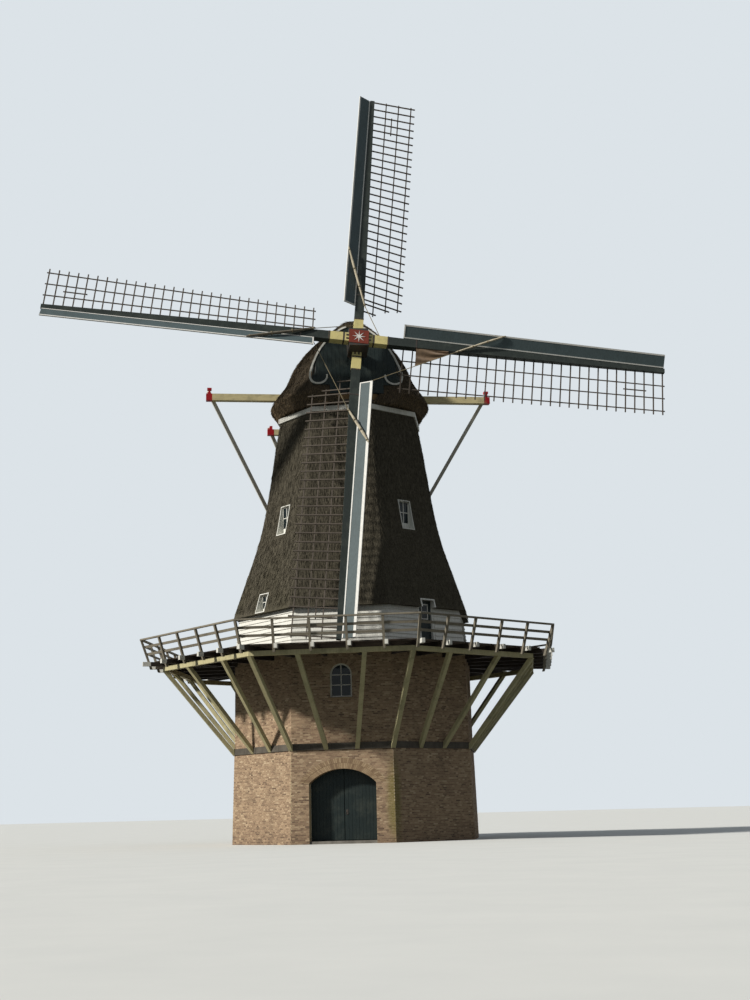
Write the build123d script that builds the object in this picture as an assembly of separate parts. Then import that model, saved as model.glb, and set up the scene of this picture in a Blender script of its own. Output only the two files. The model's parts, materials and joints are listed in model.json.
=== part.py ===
"""Thatched eight-sided smock mill with a stage, on a brick base.

Millimetres, +Z up. The origin is the centre of the base on the ground. The entrance side faces -Y.
The cap and the sails are drawn facing -Y and are then turned together by CAP_TURN about the vertical.
"""

import os
from math import cos, radians, sin, sqrt, tan

from build123d import *

# Eight-sided plan
SIDES = 8
SIDE_STEP = 360 / SIDES
HALF_ANGLE = SIDE_STEP / 2
CORNER = cos(radians(HALF_ANGLE))
FRONT, RIGHT_FRONT, RIGHT, RIGHT_REAR, REAR, LEFT_REAR, LEFT, LEFT_FRONT = range(SIDES)

# Brick base: corner radii and heights; the upper walls step in and lean in over the lower ones
FOOT_R = 5200
LOWER_LEAN = 90
UPPER_STEP = 25
UPPER_LEAN = 25
WALL_DEPTH = 700
LOWER_TOP_R = FOOT_R - LOWER_LEAN
UPPER_FOOT_R = LOWER_TOP_R - UPPER_STEP
UPPER_TOP_R = UPPER_FOOT_R - UPPER_LEAN
ROOM_R = FOOT_R - WALL_DEPTH
LEDGE_Z = 3490
LEDGE_H = 250
LEDGE_OUT = 70
WALL_TOP = 7210
GROUND_FLOOR_T = 100
FIRST_FLOOR_Z = 4300
FLOOR_T = 60
THRESHOLD_SET = 60

# Entrance arch and its two leaves
ARCH_HALF_W = 1280
ARCH_SPRING_Z = 2240
ARCH_RISE = 530
ARCH_RING_T = 400
REBATE_W = 100
REBATE_D = 75
REBATE_TOP_Z = 2900
LEAF_T = 70
LEAF_GAP = 7
LEAF_SIDE_GAP = 8
LEAF_FLOOR_GAP = 15
LEAF_TOP_GAP = 15
HINGE_OFF = 32
HINGE_PIN_R = 14
HINGE_FIT = 0.05
BARREL_R = 26
BARREL_H = 90
HINGE_HEIGHTS = (550, 2350)
STRAP_L = 900
STRAP_H = 60
STRAP_T = 10
PINTLE_ARM_H = 24
PINTLE_ARM_L = 110
PINTLE_REST = 0.3

# Arched windows in the base
BASE_WINDOW_W = 850
BASE_WINDOW_SILL = 5460
BASE_WINDOW_H = 1300
BASE_WINDOW_SIDES = (FRONT, RIGHT, REAR, LEFT)
FRAME_W = 60
FRAME_T = 70
FRAME_SETBACK = 110
GLASS_T = 8

# Stage: everything at its edge keeps its distance from the corner radius of the deck
DECK_R = 8300
DECK_T = 50
RING_INSET = 300
RING_R = DECK_R - RING_INSET
RING_W = 170
RING_H = 180
JOIST_W = 120
JOIST_H = 170
JOIST_OVERHANG = 530
JOIST_END_R = DECK_R + JOIST_OVERHANG
DECK_TOP = WALL_TOP + DECK_T
JOIST_Z = WALL_TOP - JOIST_H
RING_Z = JOIST_Z - RING_H
BAYS = 5
STRUT_W = 170
STRUT_T = 150
STRUT_FOOT_Z = LEDGE_Z + 125
STRUT_FOOT_X = 610
STRUT_TOP_X = 1240
POST_W = 90
POST_T = 90
POST_OUT = 170
POST_FOOT_R = DECK_R + POST_OUT
POST_LEAN = 380
POST_FOOT_Z = RING_Z + 60
RAIL_TOP_H = 880
TOP_RAIL_W = 120
TOP_RAIL_H = 60
LOWER_RAIL_T = 32
LOWER_RAIL_H = 95
LOWER_RAIL_HEIGHTS = (270, 560)

# Smock: outer corner radius of the thatch at each height
SKIRT_TOP_Z = 9000
SKIRT_LEAN = 200
SKIRT_TOP_R = UPPER_TOP_R - SKIRT_LEAN
SKIRT_T = 120
EAVE_OUT = 260
THATCH_PROFILE = (
    (SKIRT_TOP_Z, SKIRT_TOP_R + EAVE_OUT),
    (10900, 4470),
    (12300, 4010),
    (14600, 3540),
    (17400, 3080),
)
THATCH_T = 330
THATCH_JOINT = 2
SMOCK_FLOOR_Z = 11500
BAND_R = 3160
BAND_H = 200
CURB_R = 2900
CURB_H = 250
HEAD_BORE_R = 2450

# Smock windows and the stage door: side, offset along the side, sill height, width, height
SMOCK_WINDOWS = (
    (LEFT_FRONT, 0, 12300, 640, 1250),
    (LEFT_FRONT, -80, 9030, 640, 800),
    (RIGHT_FRONT, 0, 12300, 640, 1250),
    (RIGHT_REAR, 0, 12300, 640, 1250),
    (LEFT_REAR, 0, 12300, 640, 1250),
)
CASING_T = 35
CASING_PROUD = 25
SASH_W = 45
SASH_T = 50
SASH_SET = 60
SASH_APRON = 0.22
STAGE_DOOR = (RIGHT_FRONT, 50, 620, 2020)
STAGE_DOOR_T = 50
STAGE_DOOR_FRAME_W = 60
STAGE_DOOR_SET = 20

# Cap
CAP_TURN = 13.42
CAP_REST_GAP = 0.3
CAP_RING_R = 2870
CAP_RING_H = 260
SHEER_X = 1150
SHEER_W = 300
SHEER_H = 430
SHEER_FRONT = 2300
SHEER_REAR = 3150
CAP_LIP_R = 3400
CAP_LIP_DROP = 480
CAP_LIP_UNDERCUT = 300
CAP_WALL_T = 440
CAP_CLEAR = 80
RIDGE_H = 3400
CAP_THATCH_T = 330
FRONT_BOARD_T = 50
FRONT_SET = 1290
FRONT_SILL_Z = 18500
BEARD_HALF_W = 1120
BEARD_T = 40
BEARD_ARCH = 60
TRIM_W = 75
TRIM_T = 60
CROSSBEAM_HALF_L = 6190
CROSSBEAM_S = 290
SHORT_BEAM_HALF_L = 3400
SHORT_BEAM_S = 250
SHORT_BEAM_BACK = 3050
BRACE_S = 150
BRACE_HEAD = 380
LONG_BRACE_X = 5930
SHORT_BRACE_X = 3220
TAIL_TOP_BACK = 3300
TAIL_TOP_Z = 18300
TAIL_INSET = 1850
TAIL_FOOT_BACK = DECK_R - TAIL_INSET
TAIL_FOOT_Z = 7480
TAIL_TOP_S = 380
TAIL_FOOT_S = 300
LONG_BRACE_FOOT_Z = 8320
SHORT_BRACE_FOOT_Z = 11000
WINCH_Z = 7920
WINCH_WHEEL_R = 520
WINCH_RIM = 70
WINCH_SPOKES = 6
WINCH_DRUM_R = 130
WINCH_DRUM_L = 420
FRONT_HOLE_GAP = 30

NECK_BEAM_SET = 340
NECK_BEAM_HALF_L = 1200
NECK_BEAM_T = 360
NECK_BEAM_H = 380
NECK_POST_W = 240

# Windshaft and sails
SHAFT_TILT = 12.37
HUB_OUT = 3680
HUB_Z = 20155
SAIL_TURN = 5.71
POLL_HALF = 400
POLL_FRONT = 250
POLL_BACK = 760
NECK_R = 280
NECK_L = 1650
TAIL_R = 200
SHAFT_END = 6100
JOURNAL_R = 150
JOURNAL_L = 380
BEARING_FIT = 0.08
INNER_STOCK_SET = 480
SAIL_R = 12930
STOCK_ROOT_W = 400
STOCK_ROOT_T = 350
STOCK_TIP_W = 190
STOCK_TIP_T = 150
LATTICE_START = 1900
TIP_BARE = 70
LATTICE_END = SAIL_R - TIP_BARE
INNER_HEEL_BARS = ((1700, 780), (2080, 1400))
INNER_ROOT = 0.55
OUTER_ROOT = -0.55
BAR_COUNT = 29
BAR_REACH = 1980
BAR_W = 50
BAR_T = 40
LATHS = (650, 1225, 1800)
LATH_W = 45
LATH_T = 30
LATH_SET = 25
SHORT_LATH = 935
SHORT_LATH_BARS = (4, 2)
HEEL_TWIST = 22
TIP_TWIST = 5
BOARD_START = 1850
BOARD_W = 600
BOARD_T = 30
BOARD_TILT = 29
BOARD_ROOT = 40
BOARD_SINK = 60

# Furled canvas: for the top, left, bottom and right sail, how far out it leaves the leading board, where it
# passes the stock, and how far out on the next stock its rope is tied
FURLS = ((4500, 1850, 1000), (4500, 1850, 1000), (4600, 3160, 2000), (6000, 4100, 1960))
FURL_TIP_R = 45
FURL_MIDDLE_R = 75
FURL_HEEL_R = 45
FURL_TAIL = 90
FURL_BITE = 8
FURL_INSET = 30
ROPE_R = 18

BIG = 40000
# Where the cap is sectioned for its loft, as shares of its radius in front of the axis
CAP_STATIONS = (0.9, 0.45, 0, -0.45, -0.8, -0.96)
RIDGE_FALL = 0.72


def apothem(corner_r):
    """Distance from the axis to the flat of an octagon with this corner radius."""
    return corner_r * CORNER


def box(x0, x1, y0, y1, z0, z1):
    """Axis-aligned block between two corners."""
    centre = Pos((x0 + x1) / 2, (y0 + y1) / 2, (z0 + z1) / 2)
    return centre * Box(abs(x1 - x0), abs(y1 - y0), abs(z1 - z0))


def octagon(corner_r):
    """Octagon with a flat side facing -Y."""
    return RegularPolygon(corner_r, SIDES, rotation=HALF_ANGLE)


def prism(corner_r, z0, z1):
    """Upright eight-sided block."""
    return extrude(Pos(0, 0, z0) * octagon(corner_r), z1 - z0)


def frustum(r0, z0, r1, z1):
    """Eight-sided block that tapers from r0 at z0 to r1 at z1."""
    return loft([Pos(0, 0, z0) * octagon(r0), Pos(0, 0, z1) * octagon(r1)])


def sector(joint=0.0):
    """The eighth of the plan round the front side, narrowed by half a joint on each mitre."""
    apex = joint / 2 / sin(radians(HALF_ANGLE))
    reach = BIG * tan(radians(HALF_ANGLE))
    outline = Polyline((0, -apex), (-reach, -apex - BIG), (reach, -apex - BIG), close=True)
    return extrude(make_face(outline), BIG)


def on_side(shape, side):
    """Turn a shape drawn on the front side onto another side."""
    return Rot(0, 0, side * SIDE_STEP) * shape


def on_cap(shape):
    """Turn a shape drawn on the cap facing -Y to where the cap points."""
    return Rot(0, 0, CAP_TURN) * shape


def upright_plane(y):
    """Plane that faces -Y at this y, with X to the right and Z up."""
    return Plane(origin=(0, y, 0), x_dir=(1, 0, 0), z_dir=(0, -1, 0))


def side_profile(points, half_length):
    """Block whose outline in the YZ plane is swept along X."""
    plane = Plane(origin=(0, 0, 0), x_dir=(0, 1, 0), z_dir=(1, 0, 0))
    outline = make_face(plane * Polyline(*points, close=True))
    return extrude(outline, half_length, both=True)


def beam(start, end, width, depth, across=(1, 0, 0)):
    """Straight timber of width along the across direction and depth square to it."""
    a = Vector(*start)
    b = Vector(*end)
    plane = Plane(origin=a, x_dir=across, z_dir=b - a)
    return extrude(plane * Rectangle(width, depth), (b - a).length)


def solids(shapes):
    """One compound of every solid in the given shapes."""
    found = []
    for shape in shapes:
        found.extend(shape.solids())
    return Compound(found)


def write(name, shape):
    """Write one node."""
    export_step(shape, os.path.join("parts", name + ".step"))


def arch_face(half_w, spring_z, rise, foot_z):
    """Opening with upright jambs and a segmental top, in the XZ plane."""
    jambs = Polyline((-half_w, spring_z), (-half_w, foot_z), (half_w, foot_z), (half_w, spring_z))
    head = ThreePointArc((half_w, spring_z), (0, spring_z + rise), (-half_w, spring_z))
    return make_face([jambs, head])


def window_face(width, sill, height, inset=0.0):
    """Window with a half-round top, narrowed all round by the inset."""
    half = width / 2 - inset
    spring = sill + height - width / 2
    return arch_face(half, spring, half, sill + inset)


def through(face, y0, y1):
    """Cut block for an XZ outline between two depths."""
    return extrude(upright_plane(y0) * face, y0 - y1)


def brick_base():
    """The base walls, one for each side, and what closes and crosses them."""
    shell = frustum(FOOT_R, 0, LOWER_TOP_R, LEDGE_Z) + frustum(UPPER_FOOT_R, LEDGE_Z, UPPER_TOP_R, WALL_TOP)
    shell -= prism(ROOM_R, -1, WALL_TOP + 1)
    pockets = Compound(stage_joist_list())
    window = through(window_face(BASE_WINDOW_W, BASE_WINDOW_SILL, BASE_WINDOW_H), -FOOT_R, 0)
    names = {
        RIGHT_FRONT: "right_front_wall",
        RIGHT: "right_wall",
        RIGHT_REAR: "right_rear_wall",
        REAR: "rear_wall",
        LEFT_REAR: "left_rear_wall",
        LEFT: "left_wall",
        LEFT_FRONT: "left_front_wall",
    }
    for side, name in names.items():
        wall = shell & on_side(sector(), side)
        if side in BASE_WINDOW_SIDES:
            wall -= on_side(window, side)
        write(name, wall - pockets)

    front = (shell & sector()) - window
    back_y = -apothem(ROOM_R)
    rebate_half = ARCH_HALF_W + REBATE_W
    front -= through(arch_face(ARCH_HALF_W, ARCH_SPRING_Z, ARCH_RISE, -1), -FOOT_R, 0)
    front -= box(-rebate_half, rebate_half, back_y - REBATE_D, 0, -1, REBATE_TOP_Z)
    ring_half = ARCH_HALF_W + ARCH_RING_T
    ring_face = arch_face(ring_half, ARCH_SPRING_Z, ARCH_RISE + ARCH_RING_T, 0)
    ring_block = through(ring_face, -FOOT_R, 0)
    upper = front & box(-BIG, BIG, -BIG, BIG, ARCH_SPRING_Z, BIG)
    write("entrance_arch", upper & ring_block)
    write("front_wall", (upper - ring_block) - pockets)
    lower = front & box(-BIG, BIG, -BIG, BIG, -1, ARCH_SPRING_Z)
    write("front_pier_left", lower & box(-BIG, 0, -BIG, BIG, -1, BIG))
    write("front_pier_right", lower & box(0, BIG, -BIG, BIG, -1, BIG))

    ledge_r = UPPER_FOOT_R + LEDGE_OUT / CORNER
    ledge = prism(ledge_r, LEDGE_Z, LEDGE_Z + LEDGE_H) - prism(UPPER_FOOT_R, LEDGE_Z - 1, LEDGE_Z + LEDGE_H + 1)
    write("ledge_course", ledge)
    threshold = box(-ARCH_HALF_W, ARCH_HALF_W, -apothem(FOOT_R) + THRESHOLD_SET, 0, 0, GROUND_FLOOR_T)
    write("ground_floor", prism(ROOM_R, 0, GROUND_FLOOR_T) + threshold)
    write("first_floor", prism(ROOM_R, FIRST_FLOOR_Z, FIRST_FLOOR_Z + FLOOR_T))
    write("stage_floor", prism(UPPER_TOP_R, WALL_TOP, DECK_TOP))


def entrance_leaf(hand):
    """One door leaf with its two straps; hand is -1 for the left leaf and 1 for the right one."""
    back_y = -apothem(ROOM_R)
    edge = ARCH_HALF_W + REBATE_W - LEAF_SIDE_GAP
    foot_z = GROUND_FLOOR_T + LEAF_FLOOR_GAP
    leaf = box(hand * LEAF_GAP, hand * edge, back_y - LEAF_T, back_y, foot_z, REBATE_TOP_Z - LEAF_TOP_GAP)
    pin_y = back_y + HINGE_OFF
    for height in HINGE_HEIGHTS:
        strap = box(hand * (edge - STRAP_L), hand * edge, back_y, back_y + STRAP_T, height, height + STRAP_H)
        neck_half = HINGE_PIN_R / 2
        neck = box(hand * (edge - BARREL_R), hand * edge, back_y, pin_y, height, height + STRAP_H)
        middle = height + STRAP_H / 2
        barrel = Pos(hand * edge, pin_y, middle) * Cylinder(BARREL_R, BARREL_H)
        leaf += strap + neck + barrel
        leaf -= Pos(hand * edge, pin_y, middle) * Cylinder(HINGE_PIN_R + HINGE_FIT, BARREL_H + 2)
    return leaf


def pintles():
    """Hinge pins, each on an arm built into the pier beside the opening."""
    back_y = -apothem(ROOM_R)
    edge = ARCH_HALF_W + REBATE_W - LEAF_SIDE_GAP
    pin_y = back_y + HINGE_OFF
    found = []
    for hand in (-1, 1):
        for height in HINGE_HEIGHTS:
            barrel_foot = height + STRAP_H / 2 - BARREL_H / 2
            arm_top = barrel_foot - PINTLE_REST
            arm_foot = arm_top - PINTLE_ARM_H
            pin_top = barrel_foot + BARREL_H + HINGE_PIN_R
            pin = Pos(hand * edge, pin_y, (arm_foot + pin_top) / 2) * Cylinder(HINGE_PIN_R, pin_top - arm_foot)
            arm = box(
                hand * edge, hand * (edge + PINTLE_ARM_L), back_y, pin_y + HINGE_PIN_R, arm_foot, arm_top
            )
            found.append(pin + arm)
    return solids(found)


def post_places():
    """Offsets along a side of the posts between its two corner posts."""
    side_length = 2 * apothem(JOIST_END_R) * tan(radians(HALF_ANGLE))
    bay = side_length / BAYS
    return [(n - BAYS / 2) * bay for n in range(1, BAYS)]


def stage_joist_list():
    """Joists: one beside each post, and one beside each corner post."""
    shift = (POST_W + JOIST_W) / 2
    inner_y = apothem(ROOM_R)
    found = []
    corner = box(
        shift - JOIST_W / 2, shift + JOIST_W / 2, -JOIST_END_R, -ROOM_R, JOIST_Z, WALL_TOP
    )
    corners = [Rot(0, 0, HALF_ANGLE + side * SIDE_STEP) * corner for side in range(SIDES)]
    for side in range(SIDES):
        near = [corners[side], corners[side - 1]]
        for place in post_places():
            x = place + shift
            start = max(inner_y, (abs(x) + JOIST_W) / tan(radians(HALF_ANGLE)))
            joist = box(x - JOIST_W / 2, x + JOIST_W / 2, -apothem(JOIST_END_R), -start, JOIST_Z, WALL_TOP)
            joist = on_side(joist, side)
            for other in near:
                joist -= other
            found.append(joist.solids().sort_by(SortBy.VOLUME)[-1])
    return [corner.solids()[0] for corner in corners] + found


def stage_ring():
    """Eight-sided beam under the joists."""
    return prism(RING_R, RING_Z, JOIST_Z) - prism(RING_R - RING_W / CORNER, RING_Z - 1, JOIST_Z + 1)


def stage_struts():
    """Struts from the ledge to the ring beam: one at each corner and two along each side."""
    ledge_r = UPPER_FOOT_R + LEDGE_OUT / CORNER
    ring_mid = RING_R - RING_W / 2 / CORNER
    above = box(-BIG, BIG, -BIG, BIG, RING_Z, BIG)
    core = prism(ledge_r, 0, WALL_TOP)

    def strut(foot_x, foot_r, top_x, top_r):
        foot = Vector(foot_x, -foot_r, STRUT_FOOT_Z)
        top = Vector(top_x, -top_r, RING_Z)
        run = (top - foot).normalized() * STRUT_T * 2
        return beam(foot - run, top + run, STRUT_W, STRUT_T) - above

    found = []
    side_pair = [
        strut(hand * STRUT_FOOT_X, apothem(ledge_r), hand * STRUT_TOP_X, apothem(ring_mid)) - core
        for hand in (-1, 1)
    ]
    corner = strut(0, ledge_r, 0, ring_mid) - Rot(0, 0, HALF_ANGLE) * core
    for side in range(SIDES):
        found.extend(on_side(one, side) for one in side_pair)
        found.append(Rot(0, 0, HALF_ANGLE) * on_side(corner, side))
    return solids(found)


def post_line(z):
    """Distance from the axis, square to a side, of the middle of a post at height z."""
    top_z = DECK_TOP + RAIL_TOP_H - TOP_RAIL_H
    part = (z - POST_FOOT_Z) / (top_z - POST_FOOT_Z)
    return apothem(POST_FOOT_R) + POST_LEAN * part


def railing_posts():
    """Leaning posts, beside the joists."""
    top_z = DECK_TOP + RAIL_TOP_H - TOP_RAIL_H
    half = POST_T / 2

    def post(stretch):
        foot_y = -post_line(POST_FOOT_Z) * stretch
        top_y = -post_line(top_z) * stretch
        outline = (
            (foot_y - half, POST_FOOT_Z),
            (foot_y + half, POST_FOOT_Z),
            (top_y + half, top_z),
            (top_y - half, top_z),
        )
        return side_profile(outline, POST_W / 2)

    found = []
    for side in range(SIDES):
        for place in post_places():
            found.append(on_side(Pos(place, 0, 0) * post(1), side))
        found.append(Rot(0, 0, HALF_ANGLE) * on_side(post(1 / CORNER), side))
    return solids(found)


def railing_rails():
    """Top rail on the posts and two lower rails on their inner faces."""
    top_z = DECK_TOP + RAIL_TOP_H - TOP_RAIL_H
    top_y = -post_line(top_z)
    half = TOP_RAIL_W / 2
    outlines = [
        (
            (top_y - half, top_z),
            (top_y + half, top_z),
            (top_y + half, top_z + TOP_RAIL_H),
            (top_y - half, top_z + TOP_RAIL_H),
        )
    ]
    for height in LOWER_RAIL_HEIGHTS:
        z0 = DECK_TOP + height - LOWER_RAIL_H / 2
        z1 = z0 + LOWER_RAIL_H
        y0 = -post_line(z0) + POST_T / 2
        y1 = -post_line(z1) + POST_T / 2
        outlines.append(((y0, z0), (y1, z1), (y1 + LOWER_RAIL_T, z1), (y0 + LOWER_RAIL_T, z0)))
    found = []
    for outline in outlines:
        rail = side_profile(outline, RING_R / 2) & sector(THATCH_JOINT)
        found.extend(on_side(rail, side) for side in range(SIDES))
    return solids(found)


def stage():
    """Everything round the foot of the smock."""
    write("stage_ring_beam", stage_ring())
    write("stage_joists", solids(stage_joist_list()))
    write("stage_deck", prism(DECK_R, WALL_TOP, DECK_TOP) - prism(UPPER_TOP_R, WALL_TOP - 1, DECK_TOP + 1))
    write("stage_struts", stage_struts())
    write("railing_posts", railing_posts())
    write("railing_rails", railing_rails())


def thatch_radius(z):
    """Outer corner radius of the smock's thatch at height z, between the profile's points."""
    for (z0, r0), (z1, r1) in zip(THATCH_PROFILE, THATCH_PROFILE[1:]):
        if z <= z1:
            return r0 + (r1 - r0) * (z - z0) / (z1 - z0)
    return THATCH_PROFILE[-1][1]


def thatch_block(side, proud):
    """What lies behind the outer face of one thatched side, plus the given amount."""
    plane = Plane(origin=(0, 0, 0), x_dir=(0, 1, 0), z_dir=(1, 0, 0))
    face_line = [(-apothem(r) - proud, z) for z, r in THATCH_PROFILE]
    foot = THATCH_PROFILE[0][0]
    head = THATCH_PROFILE[-1][0]
    edges = [Spline(*face_line), Polyline((face_line[-1]), (0, head), (0, foot), face_line[0])]
    return on_side(extrude(plane * make_face(edges), FOOT_R, both=True), side)


def smock_window(side, across, sill, width, height):
    """Boarded recess cut through the thatch with an upright sash; and its glass and its hole."""
    head = sill + height
    face_y = -apothem(thatch_radius(sill)) - CASING_PROUD
    sash_y = -apothem(thatch_radius(head)) + SASH_SET
    back_y = -apothem(thatch_radius(sill)) + THATCH_T
    back_y = max(back_y, sash_y + SASH_T + CASING_T)
    left = across - width / 2
    right = across + width / 2
    hole = box(left, right, 2 * face_y, back_y + THATCH_T, sill, head)
    casing = box(left, right, 2 * face_y, back_y, sill, head)
    inner = (left + CASING_T, right - CASING_T, sill + CASING_T, head - CASING_T)
    casing -= box(inner[0], inner[1], 2 * face_y - 1, back_y + 1, inner[2], inner[3])
    casing = on_side(casing, side) & thatch_block(side, CASING_PROUD)
    sash = box(inner[0], inner[1], sash_y, sash_y + SASH_T, inner[2], inner[3])
    pane = (inner[0] + SASH_W, inner[1] - SASH_W, inner[2] + SASH_APRON * height, inner[3] - SASH_W)
    sash -= box(pane[0], pane[1], sash_y - 1, sash_y + SASH_T + 1, pane[2], pane[3])
    glass_y = sash_y + (SASH_T - GLASS_T) / 2
    glass = box(pane[0], pane[1], glass_y, glass_y + GLASS_T, pane[2], pane[3])
    return casing + on_side(sash, side), on_side(glass, side), on_side(hole, side)


def base_window(side):
    """Arched frame and glass of one window in the base."""
    y0 = -apothem(UPPER_FOOT_R) + FRAME_SETBACK
    outer = through(window_face(BASE_WINDOW_W, BASE_WINDOW_SILL, BASE_WINDOW_H), y0, y0 + FRAME_T)
    inner_face = window_face(BASE_WINDOW_W, BASE_WINDOW_SILL, BASE_WINDOW_H, FRAME_W)
    frame = outer - through(inner_face, y0 - 1, y0 + FRAME_T + 1)
    glass_y = y0 + FRAME_T / 2
    glass = through(inner_face, glass_y, glass_y + GLASS_T)
    return on_side(frame, side), on_side(glass, side)


def stage_door():
    """Door leaf onto the stage, its frame with boarded cheeks, and the hole it needs."""
    side, across, width, height = STAGE_DOOR
    head = DECK_TOP + height
    leaf_y = -apothem(SKIRT_TOP_R) + STAGE_DOOR_SET
    back_y = leaf_y + STAGE_DOOR_T + SKIRT_T
    left = across - width / 2
    right = across + width / 2
    frame_w = STAGE_DOOR_FRAME_W
    hole = box(left - frame_w, right + frame_w, -FOOT_R, back_y + THATCH_T, DECK_TOP, head + frame_w)
    frame = box(left - frame_w, right + frame_w, -FOOT_R, back_y, DECK_TOP, head + frame_w)
    frame -= box(left, right, -FOOT_R - 1, back_y + 1, DECK_TOP - 1, head)
    skirt = on_side(frustum(UPPER_TOP_R, DECK_TOP, SKIRT_TOP_R, SKIRT_TOP_Z), 0)
    outside = skirt + thatch_block(side, CASING_PROUD)
    leaf = box(left, right, leaf_y, leaf_y + STAGE_DOOR_T, DECK_TOP, head)
    return on_side(leaf, side), on_side(frame, side) & outside, on_side(hole, side)


def smock():
    """White skirt, thatched sides with their windows and door, floor and head."""
    frames = []
    panes = []
    holes = []
    for window in SMOCK_WINDOWS:
        frame, pane, hole = smock_window(*window)
        frames.append(frame)
        panes.append(pane)
        holes.append(hole)
    for side in BASE_WINDOW_SIDES:
        frame, pane = base_window(side)
        frames.append(frame)
        panes.append(pane)
    leaf, casing, hole = stage_door()
    frames.append(casing)
    holes.append(hole)
    write("window_frames", solids(frames))
    write("window_glass", solids(panes))
    write("stage_door", leaf)

    skirt = frustum(UPPER_TOP_R, DECK_TOP, SKIRT_TOP_R, SKIRT_TOP_Z)
    skirt -= frustum(UPPER_TOP_R - SKIRT_T, DECK_TOP - 1, SKIRT_TOP_R - SKIRT_T, SKIRT_TOP_Z + 1)
    write("smock_skirt", skirt - hole)

    plane = Plane(origin=(0, 0, 0), x_dir=(0, 1, 0), z_dir=(1, 0, 0))
    outer = [(-apothem(r), z) for z, r in THATCH_PROFILE]
    inner = [(y + THATCH_T, z) for y, z in outer]
    edges = [
        Spline(*outer),
        Line(outer[-1], inner[-1]),
        Spline(*reversed(inner)),
        Line(inner[0], outer[0]),
    ]
    slab = extrude(plane * make_face(edges), FOOT_R, both=True)
    side_block = slab & sector(THATCH_JOINT)
    thatch = []
    for side in range(SIDES):
        one = on_side(side_block, side)
        for hole in holes:
            one -= hole
        thatch.append(one)
    write("smock_thatch", solids(thatch))

    floor_r = thatch_radius(SMOCK_FLOOR_Z) - THATCH_T / 2
    floor = prism(floor_r, SMOCK_FLOOR_Z, SMOCK_FLOOR_Z + FLOOR_T)
    for side in range(SIDES):
        floor -= on_side(slab, side)
    write("smock_floor", floor)

    band_z = THATCH_PROFILE[-1][0]
    head = prism(BAND_R, band_z, band_z + BAND_H)
    head += Pos(0, 0, band_z + BAND_H + CURB_H / 2) * Cylinder(CURB_R, CURB_H)
    head -= Pos(0, 0, band_z + (BAND_H + CURB_H) / 2) * Cylinder(HEAD_BORE_R, BAND_H + CURB_H + 2)
    write("smock_head", head)


CURB_TOP = THATCH_PROFILE[-1][0] + BAND_H + CURB_H
CAP_RING_TOP = CURB_TOP + CAP_REST_GAP + CAP_RING_H
SHEER_TOP = CAP_RING_TOP + SHEER_H
LIP_FOOT_Z = THATCH_PROFILE[-1][0] + BAND_H + CAP_CLEAR
LIP_Z = LIP_FOOT_Z + CAP_LIP_DROP

SHAFT_PLANE = Plane(
    origin=(0, -HUB_OUT, HUB_Z),
    x_dir=(1, 0, 0),
    z_dir=(0, -cos(radians(SHAFT_TILT)), sin(radians(SHAFT_TILT))),
)


def on_shaft(shape):
    """Place a shape drawn with the shaft along +Z and the hub at the origin."""
    return on_cap(SHAFT_PLANE.location * shape)


def in_front(setback):
    """Everything in front of the plane square to the shaft, this far behind the hub, cap facing -Y."""
    return SHAFT_PLANE.location * box(-BIG, BIG, -BIG, BIG, -setback, BIG)


# Share of the lip's half width that the thatch has at each share of the ridge's height
OGEE = ((0.0, 1.0), (0.10, 0.94), (0.28, 0.81), (0.44, 0.735), (0.60, 0.63), (0.75, 0.48), (0.89, 0.28))


def ogee_section(w, radius, inset, foot_in, foot_z):
    """Upright section of the cap at distance w in front of the axis."""
    half_w = sqrt(radius ** 2 - w ** 2)
    ridge_z = ridge_at(w * CAP_LIP_R / radius) - inset
    rise = ridge_z - LIP_Z
    right = [(half_w * share, LIP_Z + rise * part) for part, share in OGEE]
    left = [(-x, z) for x, z in reversed(right)]
    curve = Spline(*right, (0, ridge_z), *left)
    foot = half_w - foot_in
    base = Polyline((-half_w, LIP_Z), (-foot, foot_z), (foot, foot_z), (half_w, LIP_Z))
    return upright_plane(-w) * make_face([curve, base])


def ridge_at(w):
    """Height of the ridge at distance w in front of the axis: it falls towards the back."""
    if w >= 0:
        return LIP_Z + RIDGE_H
    return LIP_Z + RIDGE_H * (1 - RIDGE_FALL * (-w / CAP_LIP_R) ** 2)


def cap_body(radius, inset, foot_in, foot_z):
    """Boat-shaped body of the cap, lofted from front to back."""
    places = [radius * share for share in CAP_STATIONS]
    return loft([ogee_section(w, radius, inset, foot_in, foot_z) for w in places])


def crossbeam_blocks():
    """The long crossbeam on the sheers and the short one under their tails."""
    half = CROSSBEAM_S / 2
    short_half = SHORT_BEAM_S / 2
    long_beam = box(-CROSSBEAM_HALF_L, CROSSBEAM_HALF_L, -half, half, SHEER_TOP, SHEER_TOP + CROSSBEAM_S)
    short_beam = box(
        -SHORT_BEAM_HALF_L,
        SHORT_BEAM_HALF_L,
        SHORT_BEAM_BACK - short_half,
        SHORT_BEAM_BACK + short_half,
        CAP_RING_TOP - SHORT_BEAM_S,
        CAP_RING_TOP,
    )
    return long_beam, short_beam


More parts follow.
